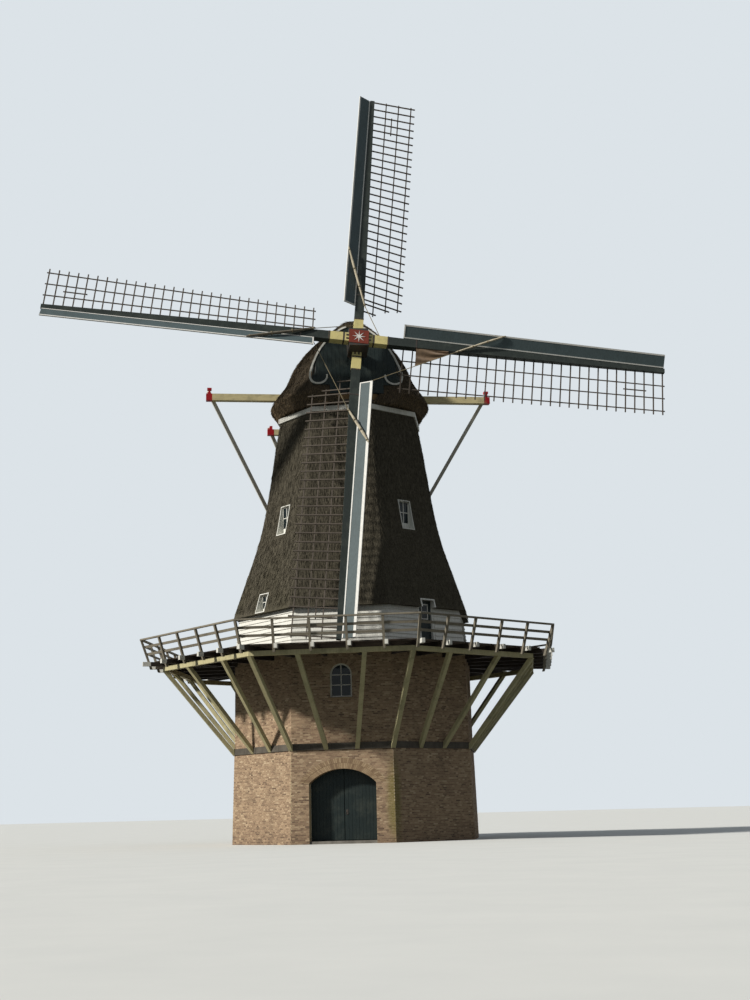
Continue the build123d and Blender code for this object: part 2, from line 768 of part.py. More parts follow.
def cap_thatch():
    """Thatched shell, cut off square to the shaft in front; and the room inside it."""
    outer = cap_body(CAP_LIP_R, 0, CAP_LIP_UNDERCUT, LIP_FOOT_Z)
    inner_r = CAP_LIP_R - CAP_WALL_T
    attic = cap_body(inner_r, CAP_THATCH_T, 0, LIP_Z - CAP_LIP_DROP / 2)
    bore_h = 1.3 * CAP_LIP_DROP
    bore = Pos(0, 0, LIP_FOOT_Z + bore_h / 2 - 1) * Cylinder(inner_r, bore_h)
    inside = attic + bore
    shell = outer - attic
    shell -= bore
    shell -= in_front(FRONT_SET)
    for timber in crossbeam_blocks():
        shell -= timber
    for hand in (-1, 1):
        x = hand * SHEER_X
        shell -= box(x - SHEER_W / 2, x + SHEER_W / 2, 0, SHEER_REAR, CAP_RING_TOP, SHEER_TOP)
    shell -= tail_pole()
    return shell, inside


def cap_frame():
    """Ring on the curb, sheers on the ring, and the beams that carry the windshaft."""
    ring = Pos(0, 0, CAP_RING_TOP - CAP_RING_H / 2) * Cylinder(CAP_RING_R, CAP_RING_H)
    ring -= Pos(0, 0, CAP_RING_TOP - CAP_RING_H / 2) * Cylinder(HEAD_BORE_R, CAP_RING_H + 2)
    frame = ring
    neck_mid = FRONT_SET + NECK_BEAM_SET
    neck_y = -HUB_OUT + neck_mid * cos(radians(SHAFT_TILT))
    neck_z = HUB_Z - neck_mid * sin(radians(SHAFT_TILT))
    tail_mid = SHAFT_END - JOURNAL_L / 2
    tail_y = -HUB_OUT + tail_mid * cos(radians(SHAFT_TILT))
    tail_z = HUB_Z - tail_mid * sin(radians(SHAFT_TILT))
    half = NECK_BEAM_T / 2
    post_half = NECK_POST_W / 2
    beam_top = neck_z - NECK_R / 2
    beam_foot = neck_z - NECK_R - NECK_BEAM_H
    for hand in (-1, 1):
        x = hand * SHEER_X
        frame += box(x - SHEER_W / 2, x + SHEER_W / 2, -SHEER_FRONT, SHEER_REAR, CAP_RING_TOP, SHEER_TOP)
        frame += box(x - post_half, x + post_half, neck_y - post_half, neck_y + post_half, SHEER_TOP, beam_foot)
    frame += box(-NECK_BEAM_HALF_L, NECK_BEAM_HALF_L, neck_y - half, neck_y + half, beam_foot, beam_top)
    frame += box(-SHEER_X, SHEER_X, tail_y - half, tail_y + half, SHEER_TOP, tail_z)
    bore = SHAFT_PLANE.location * Pos(0, 0, -neck_mid) * Cylinder(NECK_R + BEARING_FIT, 4 * half)
    tail_bore = SHAFT_PLANE.location * Pos(0, 0, -tail_mid) * Cylinder(JOURNAL_R + BEARING_FIT, 4 * half)
    return frame - bore - tail_bore


def tail_line(part):
    """Point on the middle line of the tail pole: 0 at the foot, 1 at the top."""
    y = TAIL_FOOT_BACK + (TAIL_TOP_BACK - TAIL_FOOT_BACK) * part
    z = TAIL_FOOT_Z + (TAIL_TOP_Z - TAIL_FOOT_Z) * part
    return (0, y, z)


def tail_part(z):
    """Share of the tail pole's length at height z."""
    return (z - TAIL_FOOT_Z) / (TAIL_TOP_Z - TAIL_FOOT_Z)


def tail_pole():
    """Tapered pole from the back of the cap down to the stage, notched over the short crossbeam."""
    foot = Vector(*tail_line(0))
    top = Vector(*tail_line(1))
    low = Plane(origin=foot, x_dir=(1, 0, 0), z_dir=top - foot)
    high = Plane(origin=top, x_dir=(1, 0, 0), z_dir=top - foot)
    pole = loft([low * Rectangle(TAIL_FOOT_S, TAIL_FOOT_S), high * Rectangle(TAIL_TOP_S, TAIL_TOP_S)])
    return pole - crossbeam_blocks()[1]


def braces():
    """Long and short braces from the crossbeam ends to the tail pole."""
    pole = tail_pole()
    long_beam, short_beam = crossbeam_blocks()
    reach = (
        (LONG_BRACE_X, (CROSSBEAM_S + BRACE_S) / 2, SHEER_TOP + CROSSBEAM_S / 2, LONG_BRACE_FOOT_Z, BRACE_HEAD),
        (
            SHORT_BRACE_X,
            SHORT_BEAM_BACK + (SHORT_BEAM_S + BRACE_S) / 2,
            CAP_RING_TOP - SHORT_BEAM_S / 2,
            SHORT_BRACE_FOOT_Z,
            0.8 * BRACE_HEAD,
        ),
    )
    found = []
    for hand in (-1, 1):
        for x, y, z, foot_z, head in reach:
            foot = Vector(*tail_line(tail_part(foot_z)))
            top = Vector(hand * x, y, z)
            run = (top - foot).normalized()
            across = (hand * run.Z, 0, -hand * run.X)
            whole = beam(foot, top + run * head, BRACE_S, BRACE_S, across)
            found.append(whole - pole - long_beam - short_beam)
    return [one.solids().sort_by(SortBy.VOLUME)[-1] for one in found]


def tail_winch():
    """Drum and spoked wheel at the foot of the tail pole."""
    _, y, z = tail_line(tail_part(WINCH_Z))
    spin = Plane(origin=(0, y, z), x_dir=(0, 1, 0), z_dir=(1, 0, 0))
    drum = extrude(Circle(WINCH_DRUM_R), WINCH_DRUM_L)
    axle = extrude(Circle(WINCH_DRUM_R / 2), WINCH_DRUM_L + 2 * WINCH_RIM)
    place = Pos(0, 0, WINCH_DRUM_L + WINCH_RIM)
    mid_r = WINCH_WHEEL_R - WINCH_RIM / 2
    wheel = drum + axle + place * (
        Cylinder(WINCH_WHEEL_R, WINCH_RIM) - Cylinder(WINCH_WHEEL_R - WINCH_RIM, WINCH_RIM + 2)
    )
    for n in range(WINCH_SPOKES):
        spoke = Pos(mid_r / 2, 0, 0) * Box(mid_r, WINCH_RIM * 0.8, WINCH_RIM * 0.6)
        wheel += place * Rot(0, 0, 360 * n / WINCH_SPOKES) * spoke
    return spin.location * wheel - tail_pole()


def cap():
    """The cap with its timber outside and inside."""
    shell, inside = cap_thatch()
    write("cap_thatch", on_cap(shell))
    write("cap_frame", on_cap(cap_frame()))

    slab = in_front(FRONT_SET + FRONT_BOARD_T)
    slab -= in_front(FRONT_SET)
    boards = inside & slab
    boards &= box(-BIG, BIG, -BIG, BIG, CAP_RING_TOP, BIG)
    boards -= SHAFT_PLANE.location * Pos(0, 0, -FRONT_SET) * Cylinder(NECK_R + FRONT_HOLE_GAP, BIG / 10)
    write("cap_front", on_cap(boards))

    low_x = BEARD_HALF_W
    beard_face = make_face(
        [
            Polyline(
                (-low_x, CAP_RING_TOP), (-low_x, FRONT_SILL_Z), (low_x, FRONT_SILL_Z), (low_x, CAP_RING_TOP)
            ),
            ThreePointArc((low_x, CAP_RING_TOP), (0, CAP_RING_TOP + BEARD_ARCH), (-low_x, CAP_RING_TOP)),
        ]
    )
    beard = through(beard_face, -BIG / 10, 0) & (in_front(FRONT_SET) - in_front(FRONT_SET - BEARD_T))
    write("beard_board", on_cap(beard))
    write("cap_trims", solids([on_cap(one) for one in trims()]))
    write("crossbeams", solids([on_cap(one) for one in crossbeam_blocks()]))
    write("braces", solids([on_cap(one) for one in braces()]))
    write("tail_pole", on_cap(tail_pole()))
    write("tail_winch", on_cap(tail_winch()))


# Centre line of a white trim: down the edge of the cap's front, then round to the curled end
TRIM_EDGE = ((330, 21240), (820, 20930), (1180, 20560), (1450, 20200), (1700, 19700), (1870, 19250))
TRIM_CURL = ((1935, 18900), (1850, 18640), (1590, 18550), (1330, 18660), (1230, 18970))


def front_point(x, z):
    """Point at x and height z in the middle of the trims' thickness, on the front of the cap."""
    set_back = FRONT_SET - TRIM_T / 2
    w = HUB_OUT - (set_back + (z - HUB_Z) * sin(radians(SHAFT_TILT))) / cos(radians(SHAFT_TILT))
    return Vector(x, -w, z)


def trims():
    """Two white trims on the edge of the cap's front, each ending in a curl."""
    found = []
    out = SHAFT_PLANE.z_dir
    for hand in (-1, 1):
        path = Edge.make_spline([front_point(hand * x, z) for x, z in TRIM_EDGE + TRIM_CURL])
        start = Plane(origin=path @ 0, x_dir=out, z_dir=path % 0)
        found.append(sweep(start * Rectangle(TRIM_T, TRIM_W), path=path))
    return found


def stock_size(r):
    """Width and thickness of a stock at distance r from the shaft."""
    part = r / SAIL_R
    return (
        STOCK_ROOT_W + (STOCK_TIP_W - STOCK_ROOT_W) * part,
        STOCK_ROOT_T + (STOCK_TIP_T - STOCK_ROOT_T) * part,
    )


def cross_plane(r):
    """Plane square to a sail that points along +Y, at distance r: X across, Y along the shaft."""
    return Plane(origin=(0, r, 0), x_dir=(1, 0, 0), z_dir=(0, -1, 0))


def stock(setback):
    """One stock, tapering both ways from the shaft, along Y."""
    root = cross_plane(0) * Rectangle(STOCK_ROOT_W, STOCK_ROOT_T)
    tip = cross_plane(SAIL_R) * Rectangle(STOCK_TIP_W, STOCK_TIP_T)
    half = loft([root, tip])
    return Pos(0, 0, -setback) * (half + Rot(0, 0, 180) * half)


def twist(r):
    """How far the lattice leans back at distance r, in degrees."""
    part = (r - LATTICE_START) / (LATTICE_END - LATTICE_START)
    return HEEL_TWIST + (TIP_TWIST - HEEL_TWIST) * part


def root_lift(r, root):
    """How far in front of the stock's middle the bars pass through it, as a share of its half depth."""
    return root * stock_size(r)[1] / 2


def chord_point(r, along, up, root):
    """Point at distance r, so far along the leaning chord and so far in front of it."""
    a = radians(twist(r))
    return Vector(along * cos(a) + up * sin(a), r, -along * sin(a) + up * cos(a) + root_lift(r, root))


def lattice(root, heel_bars=()):
    """Twisted lattice of one sail that points along +Y, with its laths on the right."""
    pitch = (LATTICE_END - LATTICE_START) / (BAR_COUNT - 1)
    rows = [(LATTICE_START + n * pitch, BAR_REACH) for n in range(BAR_COUNT)]
    overhang = pitch / 4
    first = [rows[0][0]] * len(LATHS)
    if heel_bars:
        rows = [row for row in rows if row[0] > heel_bars[-1][0] + pitch / 2]
        first = [heel_bars[0][0], heel_bars[1][0], rows[0][0]]
        rows = list(heel_bars) + rows
    parts = []
    for r, reach in rows:
        bar = box(0, reach, r - BAR_W / 2, r + BAR_W / 2, -BAR_T / 2, BAR_T / 2)
        parts.append(Pos(0, 0, root_lift(r, root)) * Rot(0, twist(r), 0) * bar)
    spans = [(place, r - overhang, LATTICE_END + overhang) for place, r in zip(LATHS, first)]
    short = [LATTICE_END - n * pitch for n in SHORT_LATH_BARS]
    spans.append((SHORT_LATH, short[0] - overhang, short[1] + overhang))
    for place, r0, r1 in spans:
        a = chord_point(r0, place, -LATH_SET, root)
        b = chord_point(r1, place, -LATH_SET, root)
        lean = radians((twist(r0) + twist(r1)) / 2)
        parts.append(beam(a, b, LATH_W, LATH_T, (cos(lean), 0, -sin(lean))))
    return parts[0].fuse(*parts[1:])


def board_lines(r):
    """A leading board's root corner at distance r, and its directions along and square to its face."""
    lean = radians(BOARD_TILT)
    width, depth = stock_size(r)
    root = Vector(BOARD_ROOT - width / 2, r, depth / 2 - BOARD_SINK)
    return root, Vector(-cos(lean), 0, sin(lean)), Vector(sin(lean), 0, cos(lean))


def leading_board():
    """Board on the leading edge of a sail that points along +Y, leaning forward."""
    sections = []
    for r in (BOARD_START, LATTICE_END + BAR_W / 2):
        root, out, off = board_lines(r)
        edge = root + out * (BOARD_W + BOARD_ROOT)
        corners = (root, edge, edge + off * BOARD_T, root + off * BOARD_T)
        sections.append(make_face(Polyline(*corners, close=True)))
    return loft(sections)


def furled_sail(tip_r, stock_r, tie_reach, tie_depth):
    """Canvas twisted up across the stock of a sail that points along +Y, and its rope to the next stock."""
    root, out, off = board_lines(tip_r)
    tip = root + out * (BOARD_W + BOARD_ROOT - FURL_INSET) + off * (BOARD_T + FURL_TIP_R - FURL_BITE)
    width, depth = stock_size(stock_r)
    rest = (FURL_HEEL_R - FURL_BITE) / sqrt(2)
    heel = Vector(width / 2 + rest, stock_r, depth / 2 + rest)
    along = (heel - tip).normalized()
    middle = (tip + heel) * 0.5
    places = (tip - along * FURL_TAIL, tip, middle, heel, heel + along * FURL_TAIL)
    radii = (ROPE_R, FURL_TIP_R, FURL_MIDDLE_R, FURL_HEEL_R, ROPE_R)
    sections = [Plane(origin=at, z_dir=along) * Circle(radius) for at, radius in zip(places, radii)]
    run = Vector(tie_reach, 0, tie_depth) - heel
    rope = Plane(origin=heel, z_dir=run) * Pos(0, 0, run.length / 2) * Cylinder(ROPE_R, run.length)
    return loft(sections, ruled=True) + rope


def windshaft(stocks):
    """Poll end, neck, tapered shaft and tail journal."""
    shaft = box(-POLL_HALF, POLL_HALF, -POLL_HALF, POLL_HALF, -POLL_BACK, POLL_FRONT)
    neck_end = POLL_BACK + NECK_L
    taper_end = SHAFT_END - JOURNAL_L
    shaft += Pos(0, 0, -(POLL_BACK + neck_end) / 2) * Cylinder(NECK_R, NECK_L)
    shaft += Pos(0, 0, -(neck_end + taper_end) / 2) * Cone(TAIL_R, NECK_R, taper_end - neck_end)
    shaft += Pos(0, 0, -(taper_end + SHAFT_END) / 2) * Cylinder(JOURNAL_R, JOURNAL_L)
    for one in stocks:
        shaft -= one
    return shaft


def sails():
    """Windshaft with its two stocks and four sails."""
    turn = Rot(0, 0, -SAIL_TURN)
    inner = turn * stock(INNER_STOCK_SET)
    outer = turn * Rot(0, 0, 90) * stock(0)
    write("windshaft", on_shaft(windshaft((inner, outer))))
    write("inner_stock", on_shaft(inner))
    write("outer_stock", on_shaft(outer))
    bare = stock(0)
    one_board = leading_board() - bare
    boards = []
    furls = []
    for name, setback, turns, root, heel in (
        ("inner", INNER_STOCK_SET, (0, 180), INNER_ROOT, INNER_HEEL_BARS),
        ("outer", 0, (90, 270), OUTER_ROOT, ()),
    ):
        one_lattice = lattice(root, heel) - bare
        to_next = 2 * setback - INNER_STOCK_SET
        next_stock = Pos(0, 0, to_next) * Rot(0, 0, 90) * bare
        pair = []
        for angle in turns:
            place = turn * Rot(0, 0, angle) * Pos(0, 0, -setback)
            pair.append(on_shaft(place * one_lattice))
            boards.append(on_shaft(place * one_board))
            furl = furled_sail(*FURLS[angle // 90], to_next) - bare - one_board - next_stock
            furls.append(on_shaft(place * furl))
        write(name + "_lattices", solids(pair))
    write("leading_boards", solids(boards))
    write("furled_sails", solids(furls))


def main():
    """Write every node."""
    os.makedirs("parts", exist_ok=True)
    brick_base()
    write("left_entrance_door", entrance_leaf(-1))
    write("right_entrance_door", entrance_leaf(1))
    write("door_pintles", pintles())
    stage()
    smock()
    cap()
    sails()


main()
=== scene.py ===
"""Looks of a thatched smock mill with a stage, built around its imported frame.

Metres, +Z up. The entrance side faces -Y. Every piece lies in the frame's own coordinates.
"""

import json
import logging
import math
import random
from collections.abc import Callable, Sequence
from dataclasses import dataclass, field
from enum import Enum

import bmesh
import bpy
from mathutils import Euler, Matrix, Vector
from mathutils.bvhtree import BVHTree


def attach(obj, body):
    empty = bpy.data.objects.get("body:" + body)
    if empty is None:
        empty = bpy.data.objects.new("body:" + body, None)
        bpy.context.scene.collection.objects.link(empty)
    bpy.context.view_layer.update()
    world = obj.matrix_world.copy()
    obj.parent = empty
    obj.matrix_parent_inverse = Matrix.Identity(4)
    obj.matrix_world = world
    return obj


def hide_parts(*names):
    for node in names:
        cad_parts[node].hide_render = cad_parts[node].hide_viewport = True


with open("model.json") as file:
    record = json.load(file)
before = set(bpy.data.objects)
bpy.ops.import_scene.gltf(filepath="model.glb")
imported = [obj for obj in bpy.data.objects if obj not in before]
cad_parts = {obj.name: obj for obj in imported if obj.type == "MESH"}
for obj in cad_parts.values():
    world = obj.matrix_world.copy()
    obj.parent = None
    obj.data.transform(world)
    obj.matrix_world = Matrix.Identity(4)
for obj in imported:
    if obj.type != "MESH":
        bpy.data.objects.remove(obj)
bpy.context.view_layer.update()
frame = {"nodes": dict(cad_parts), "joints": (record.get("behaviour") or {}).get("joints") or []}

LOG = logging.getLogger("mill")
SIDES = 8
HALF_ANGLE = math.pi / SIDES
DOWN = Vector((0.0, 0.0, -1.0))
CAP_TURN = 13.42
WELD = 0.0005
Point = Sequence[float]
Span = tuple[float, float]
Triple = tuple[float, float, float]
Colour = Triple
Mesh = bpy.types.Mesh
Piece = bpy.types.Object
Socket = bpy.types.NodeSocket
Material = bpy.types.Material
Finishes = dict[str, Material]


class Body(Enum):
    """The moving bodies of the frame."""

    TOWER = "tower"
    CAP = "cap"
    SAILS = "sails"
    LEFT_DOOR = "left_door"
    RIGHT_DOOR = "right_door"


class Side(Enum):
    """Sides of the eight-sided plan, counted from the entrance towards +X."""

    FRONT = 0
    RIGHT_FRONT = 1
    RIGHT = 2
    RIGHT_REAR = 3
    REAR = 4
    LEFT_REAR = 5
    LEFT = 6
    LEFT_FRONT = 7

    def turn(self) -> float:
        """Angle of the side about the vertical, in radians."""
        return self.value * 2 * HALF_ANGLE

    def place(self) -> Matrix:
        """Matrix that turns a shape drawn on the entrance side to this side."""
        return Matrix.Rotation(self.turn(), 4, "Z")


WINDOW_SIDES = (Side.FRONT, Side.RIGHT, Side.REAR, Side.LEFT)


class Measure(Enum):
    """What a painted band is measured by."""

    ALONG = "along a direction"
    AROUND = "out from the middle of an eight-sided plan"


def srgb(code: str) -> Colour:
    """Linear colour for one that is given by six hexadecimal digits."""
    parts = [int(code[i : i + 2], 16) / 255 for i in (0, 2, 4)]
    return tuple(p / 12.92 if p <= 0.04045 else ((p + 0.055) / 1.055) ** 2.4 for p in parts)


def scaled(colour: Colour, factor: float) -> Colour:
    """The colour made lighter or darker."""
    return tuple(min(1.0, c * factor) for c in colour)


class Nodes:
    """Short calls for building a node tree."""

    def __init__(self, tree: bpy.types.NodeTree) -> None:
        """Start with an empty tree."""
        self.tree = tree
        tree.nodes.clear()

    def node(
        self, kind: str, given: dict[str | int, object] | None = None, **settings: object
    ) -> bpy.types.Node:
        """Add a node.

        Args:
            kind: Type of the node.
            given: What its inputs get, by name or number.
            settings: Its settings by name.

        Returns:
            The node.
        """
        made = self.tree.nodes.new(kind)
        for name, value in settings.items():
            setattr(made, name, value)
        for name, value in (given or {}).items():
            self.feed(made.inputs[name], value)
        return made

    def feed(self, socket: Socket, value: object) -> None:
        """Give a socket a link from another socket, or a plain value.

        Args:
            socket: The input.
            value: A socket, a number, a colour or a vector.
        """
        if isinstance(value, Socket):
            self.tree.links.new(value, socket)
        elif isinstance(value, tuple) and len(value) == 3 and socket.type == "RGBA":
            socket.default_value = (*value, 1.0)
        else:
            socket.default_value = value

    def sums(self, operation: str, first: object, second: object = 0.0) -> Socket:
        """One calculation with one or two numbers."""
        return self.node("ShaderNodeMath", {0: first, 1: second}, operation=operation).outputs[0]

    def vectors(
        self, operation: str, first: object, second: object = (0.0, 0.0, 0.0)
    ) -> bpy.types.Node:
        """One calculation with one or two vectors."""
        return self.node("ShaderNodeVectorMath", {0: first, 1: second}, operation=operation)

    def seen(self) -> Socket:
        """1 for rays of the camera, of gloss and through glass, and 0 for all others.

        Returns:
            The share.
        """
        rays = self.node("ShaderNodeLightPath").outputs
        share = self.sums("MAXIMUM", rays["Is Glossy Ray"], rays["Is Transmission Ray"])
        return self.sums("MAXIMUM", rays["Is Camera Ray"], share)


class Shader(Nodes):
    """One material, with short calls for the nodes that the finishes use."""

    def __init__(
        self, name: str, roughness: float, metallic: float = 0.0, specular: float = 0.4
    ) -> None:
        """Start a material.

        Args:
            name: Name of the material.
            roughness: Roughness of its whole surface.
            metallic: 1 for bare metal.
            specular: Strength of its plain reflection.
        """
        self.material = bpy.data.materials.new(name)
        self.material.use_nodes = True
        super().__init__(self.material.node_tree)
        given = {"Roughness": roughness, "Metallic": metallic, "Specular IOR Level": specular}
        self.surface = self.node("ShaderNodeBsdfPrincipled", given)
        self.node("ShaderNodeOutputMaterial", {0: self.surface.outputs[0]})
        self.coordinates = self.node("ShaderNodeTexCoord").outputs["Object"]

    def mapped(self, scale: Point, turn: Point = (0.0, 0.0, 0.0)) -> Socket:
        """Object coordinates, turned and then stretched.

        Args:
            scale: Stretch along each axis.
            turn: Angles about the axes, in radians.

        Returns:
            The coordinates.
        """
        turned = self.coordinates
        if any(turn):
            turned = self.node("ShaderNodeMapping", {"Rotation": turn, "Vector": turned}).outputs[0]
        return self.node("ShaderNodeMapping", {"Scale": scale, "Vector": turned}).outputs[0]

    def noise(
        self, vector: object, scale: float, detail: float = 4.0, rough: float = 0.55
    ) -> Socket:
        """Noise between about 0.2 and 0.8, with a number of finer layers and their strength."""
        given = {"Vector": vector, "Scale": scale, "Detail": detail, "Roughness": rough}
        return self.node("ShaderNodeTexNoise", given).outputs[0]

    def attribute(self, name: str) -> Socket:
        """A number that the mesh carries at each point."""
        made = self.node("ShaderNodeAttribute", attribute_type="GEOMETRY", attribute_name=name)
        return made.outputs["Fac"]

    def fade(self, value: object, low: float, high: float, top: float = 1.0) -> Socket:
        """0 below low, top above high, and smooth between."""
        given = {"Value": value, "From Min": low, "From Max": high, "To Max": top}
        return self.node("ShaderNodeMapRange", given, interpolation_type="SMOOTHSTEP").outputs[0]

    def blend(self, share: object, first: object, second: object, mode: str = "MIX") -> Socket:
        """Mix two colours by the share of the second."""
        given = {0: share, 6: first, 7: second}
        return self.node("ShaderNodeMix", given, data_type="RGBA", blend_type=mode).outputs[2]

    def along(self, direction: Point, origin: Point = (0.0, 0.0, 0.0)) -> Socket:
        """Distance from a point, measured along a direction of length 1."""
        moved = self.vectors("SUBTRACT", self.coordinates, origin)
        return self.vectors("DOT_PRODUCT", moved.outputs[0], direction).outputs["Value"]

    def around(self) -> Socket:
        """Distance out from the vertical axis, square to the nearest of the eight sides.

        Returns:
            The distance.
        """
        found = None
        for side in range(SIDES // 2):
            angle = side * 2 * HALF_ANGLE
            one = self.sums("ABSOLUTE", self.along((math.sin(angle), -math.cos(angle), 0.0)))
            found = one if found is None else self.sums("MAXIMUM", found, one)
        return found

    def finish(self, colour: object, height: object = None, depth: float = 0.0) -> Material:
        """Link the colour and the bump, and hand over the material.

        Args:
            colour: Base colour, as a socket or three numbers.
            height: Bump height from 0 to 1, or None.
            depth: Real height of the bump in metres.

        Returns:
            The material.
        """
        self.feed(self.surface.inputs["Base Color"], colour)
        if height is not None:
            bump = self.node("ShaderNodeBump", {"Strength": 1.0, "Distance": depth, "Height": height})
            self.feed(self.surface.inputs["Normal"], bump.outputs[0])
        return self.material


@dataclass(frozen=True)
class Band:
    """A second colour on a painted piece, between two distances."""

    colour: Colour
    low: float
    high: float = 1000.0
    measure: Measure = Measure.ALONG
    direction: Triple = (0.0, 0.0, 1.0)
    origin: Triple = (0.0, 0.0, 0.0)
    both_ways: bool = False
    blur: float = 0.006

    def share(self, shader: Shader) -> Socket:
        """1 inside the band and 0 outside it.

        Args:
            shader: The material that the band is on.

        Returns:
            The share.
        """
        if self.measure is Measure.AROUND:
            value = shader.around()
        else:
            value = shader.along(self.direction, self.origin)
        if self.both_ways:
            value = shader.sums("ABSOLUTE", value)
        above = shader.fade(value, self.low - self.blur, self.low + self.blur)
        below = shader.fade(value, self.high - self.blur, self.high + self.blur)
        return shader.sums("SUBTRACT", above, below)


@dataclass(frozen=True)
class Timber:
    """Bare or painted wood, with grain along one axis, weather stains and painted bands."""

    name: str
    colour: Colour
    stain: Colour
    wear: float = 0.35
    roughness: float = 0.62
    grain: Triple = (30.0, 30.0, 2.5)
    turn: Triple = (0.0, 0.0, 0.0)
    depth: float = 0.004
    specular: float = 0.14
    patch_scale: float = 1.7
    bands: tuple[Band, ...] = ()

    def material(self) -> Material:
        """Build the material.

        Returns:
            The material.
        """
        shader = Shader(self.name, self.roughness, specular=self.specular)
        grain = shader.noise(shader.mapped(self.grain, self.turn), 1.0, 6.0, 0.6)
        fibre = shader.fade(grain, 0.3, 0.7)
        colour = shader.blend(fibre, scaled(self.colour, 0.86), scaled(self.colour, 1.1))
        for band in self.bands:
            painted = shader.blend(fibre, scaled(band.colour, 0.9), band.colour)
            colour = shader.blend(band.share(shader), colour, painted)
        patches = shader.noise(shader.coordinates, self.patch_scale, 6.0, 0.65)
        worn = shader.sums("MULTIPLY", shader.fade(patches, 0.45, 0.72), self.wear)
        streaks = shader.sums("MULTIPLY", shader.fade(grain, 0.55, 0.8), self.wear * 0.5)
        colour = shader.blend(worn, colour, self.stain)
        colour = shader.blend(streaks, colour, self.stain)
        return shader.finish(colour, grain, self.depth)


@dataclass(frozen=True)
class Thatch:
    """Reed laid down the slope, weathered, with moss low down and in patches."""

    name: str
    dark: Colour
    light: Colour
    moss: Colour
    moss_share: float = 0.35
    moss_top: float = 13.0
    moss_fade: float = 4.5
    reed_scale: Triple = (46.0, 46.0, 3.6)
    course_scale: Triple = (0.9, 0.9, 7.5)
    speckle_scale: Triple = (24.0, 24.0, 14.0)
    depth: float = 0.016

    def material(self) -> Material:
        """Build the material.

        Returns:
            The material.
        """
        shader = Shader(self.name, 0.95, specular=0.12)
        reeds = shader.noise(shader.mapped(self.reed_scale), 1.0, 7.0, 0.72)
        courses = shader.noise(shader.mapped(self.course_scale), 1.0, 4.0, 0.6)
        speckle = shader.noise(shader.mapped(self.speckle_scale), 1.0, 3.0, 0.8)
        patches = shader.noise(shader.coordinates, 0.55, 5.0, 0.6)
        colour = shader.blend(shader.fade(reeds, 0.34, 0.66), self.dark, self.light)
        flecks = shader.fade(speckle, 0.5, 0.75, 0.3)
        colour = shader.blend(flecks, colour, scaled(self.light, 1.35))
        rows = shader.fade(courses, 0.45, 0.65, 0.22)
        colour = shader.blend(rows, colour, scaled(self.dark, 0.75))
        down = shader.along(tuple(DOWN))
        low = shader.fade(down, -self.moss_top, -self.moss_top + self.moss_fade, self.moss_share)
        green = shader.sums("MULTIPLY", low, shader.fade(patches, 0.35, 0.6))
        colour = shader.blend(green, colour, self.moss)
        tuft = shader.sums("MULTIPLY", shader.attribute("tone"), 0.45)
        colour = shader.blend(tuft, colour, scaled(self.light, 1.25))
        height = shader.sums("ADD", reeds, shader.sums("MULTIPLY", courses, 0.4))
        return shader.finish(colour, height, self.depth)


@dataclass(frozen=True)
class Brickwork:
    """Fired bricks, each with its own tone."""

    name: str
    tones: tuple[Colour, ...]
    moss: Colour = srgb("77703A")
    moss_place: Triple = (1.97, -4.76, 1.7)
    moss_stretch: Triple = (1.0, 1.0, 0.14)
    moss_reach: Span = (0.12, 0.42)
    depth: float = 0.003

    def material(self) -> Material:
        """Build the material.

        Returns:
            The material.
        """
        shader = Shader(self.name, 0.9, specular=0.2)
        ramp = shader.node("ShaderNodeValToRGB")
        steps = ramp.color_ramp.elements
        while len(steps) < len(self.tones):
            steps.new(0.5)
        for index, tone in enumerate(self.tones):
            steps[index].position = index / (len(self.tones) - 1)
            steps[index].color = (*tone, 1.0)
        shader.feed(ramp.inputs[0], shader.attribute("tone"))
        grit = shader.noise(shader.coordinates, 55.0, 4.0, 0.7)
        patches = shader.noise(shader.coordinates, 0.8, 5.0, 0.6)
        pits = shader.fade(grit, 0.35, 0.7, 0.35)
        colour = shader.blend(pits, ramp.outputs[0], scaled(self.tones[0], 0.75))
        stains = shader.fade(patches, 0.5, 0.75, 0.35)
        colour = shader.blend(stains, colour, scaled(self.tones[0], 0.6))
        offset = shader.vectors("SUBTRACT", shader.coordinates, self.moss_place)
        flattened = shader.vectors("MULTIPLY", offset.outputs[0], self.moss_stretch)
        away = shader.vectors("LENGTH", flattened.outputs[0])
        near = shader.sums("SUBTRACT", 1.0, shader.fade(away.outputs["Value"], *self.moss_reach))
        green = shader.sums("MULTIPLY", near, shader.fade(patches, 0.3, 0.6, 0.75))
        colour = shader.blend(green, colour, self.moss)
        return shader.finish(colour, grit, self.depth)


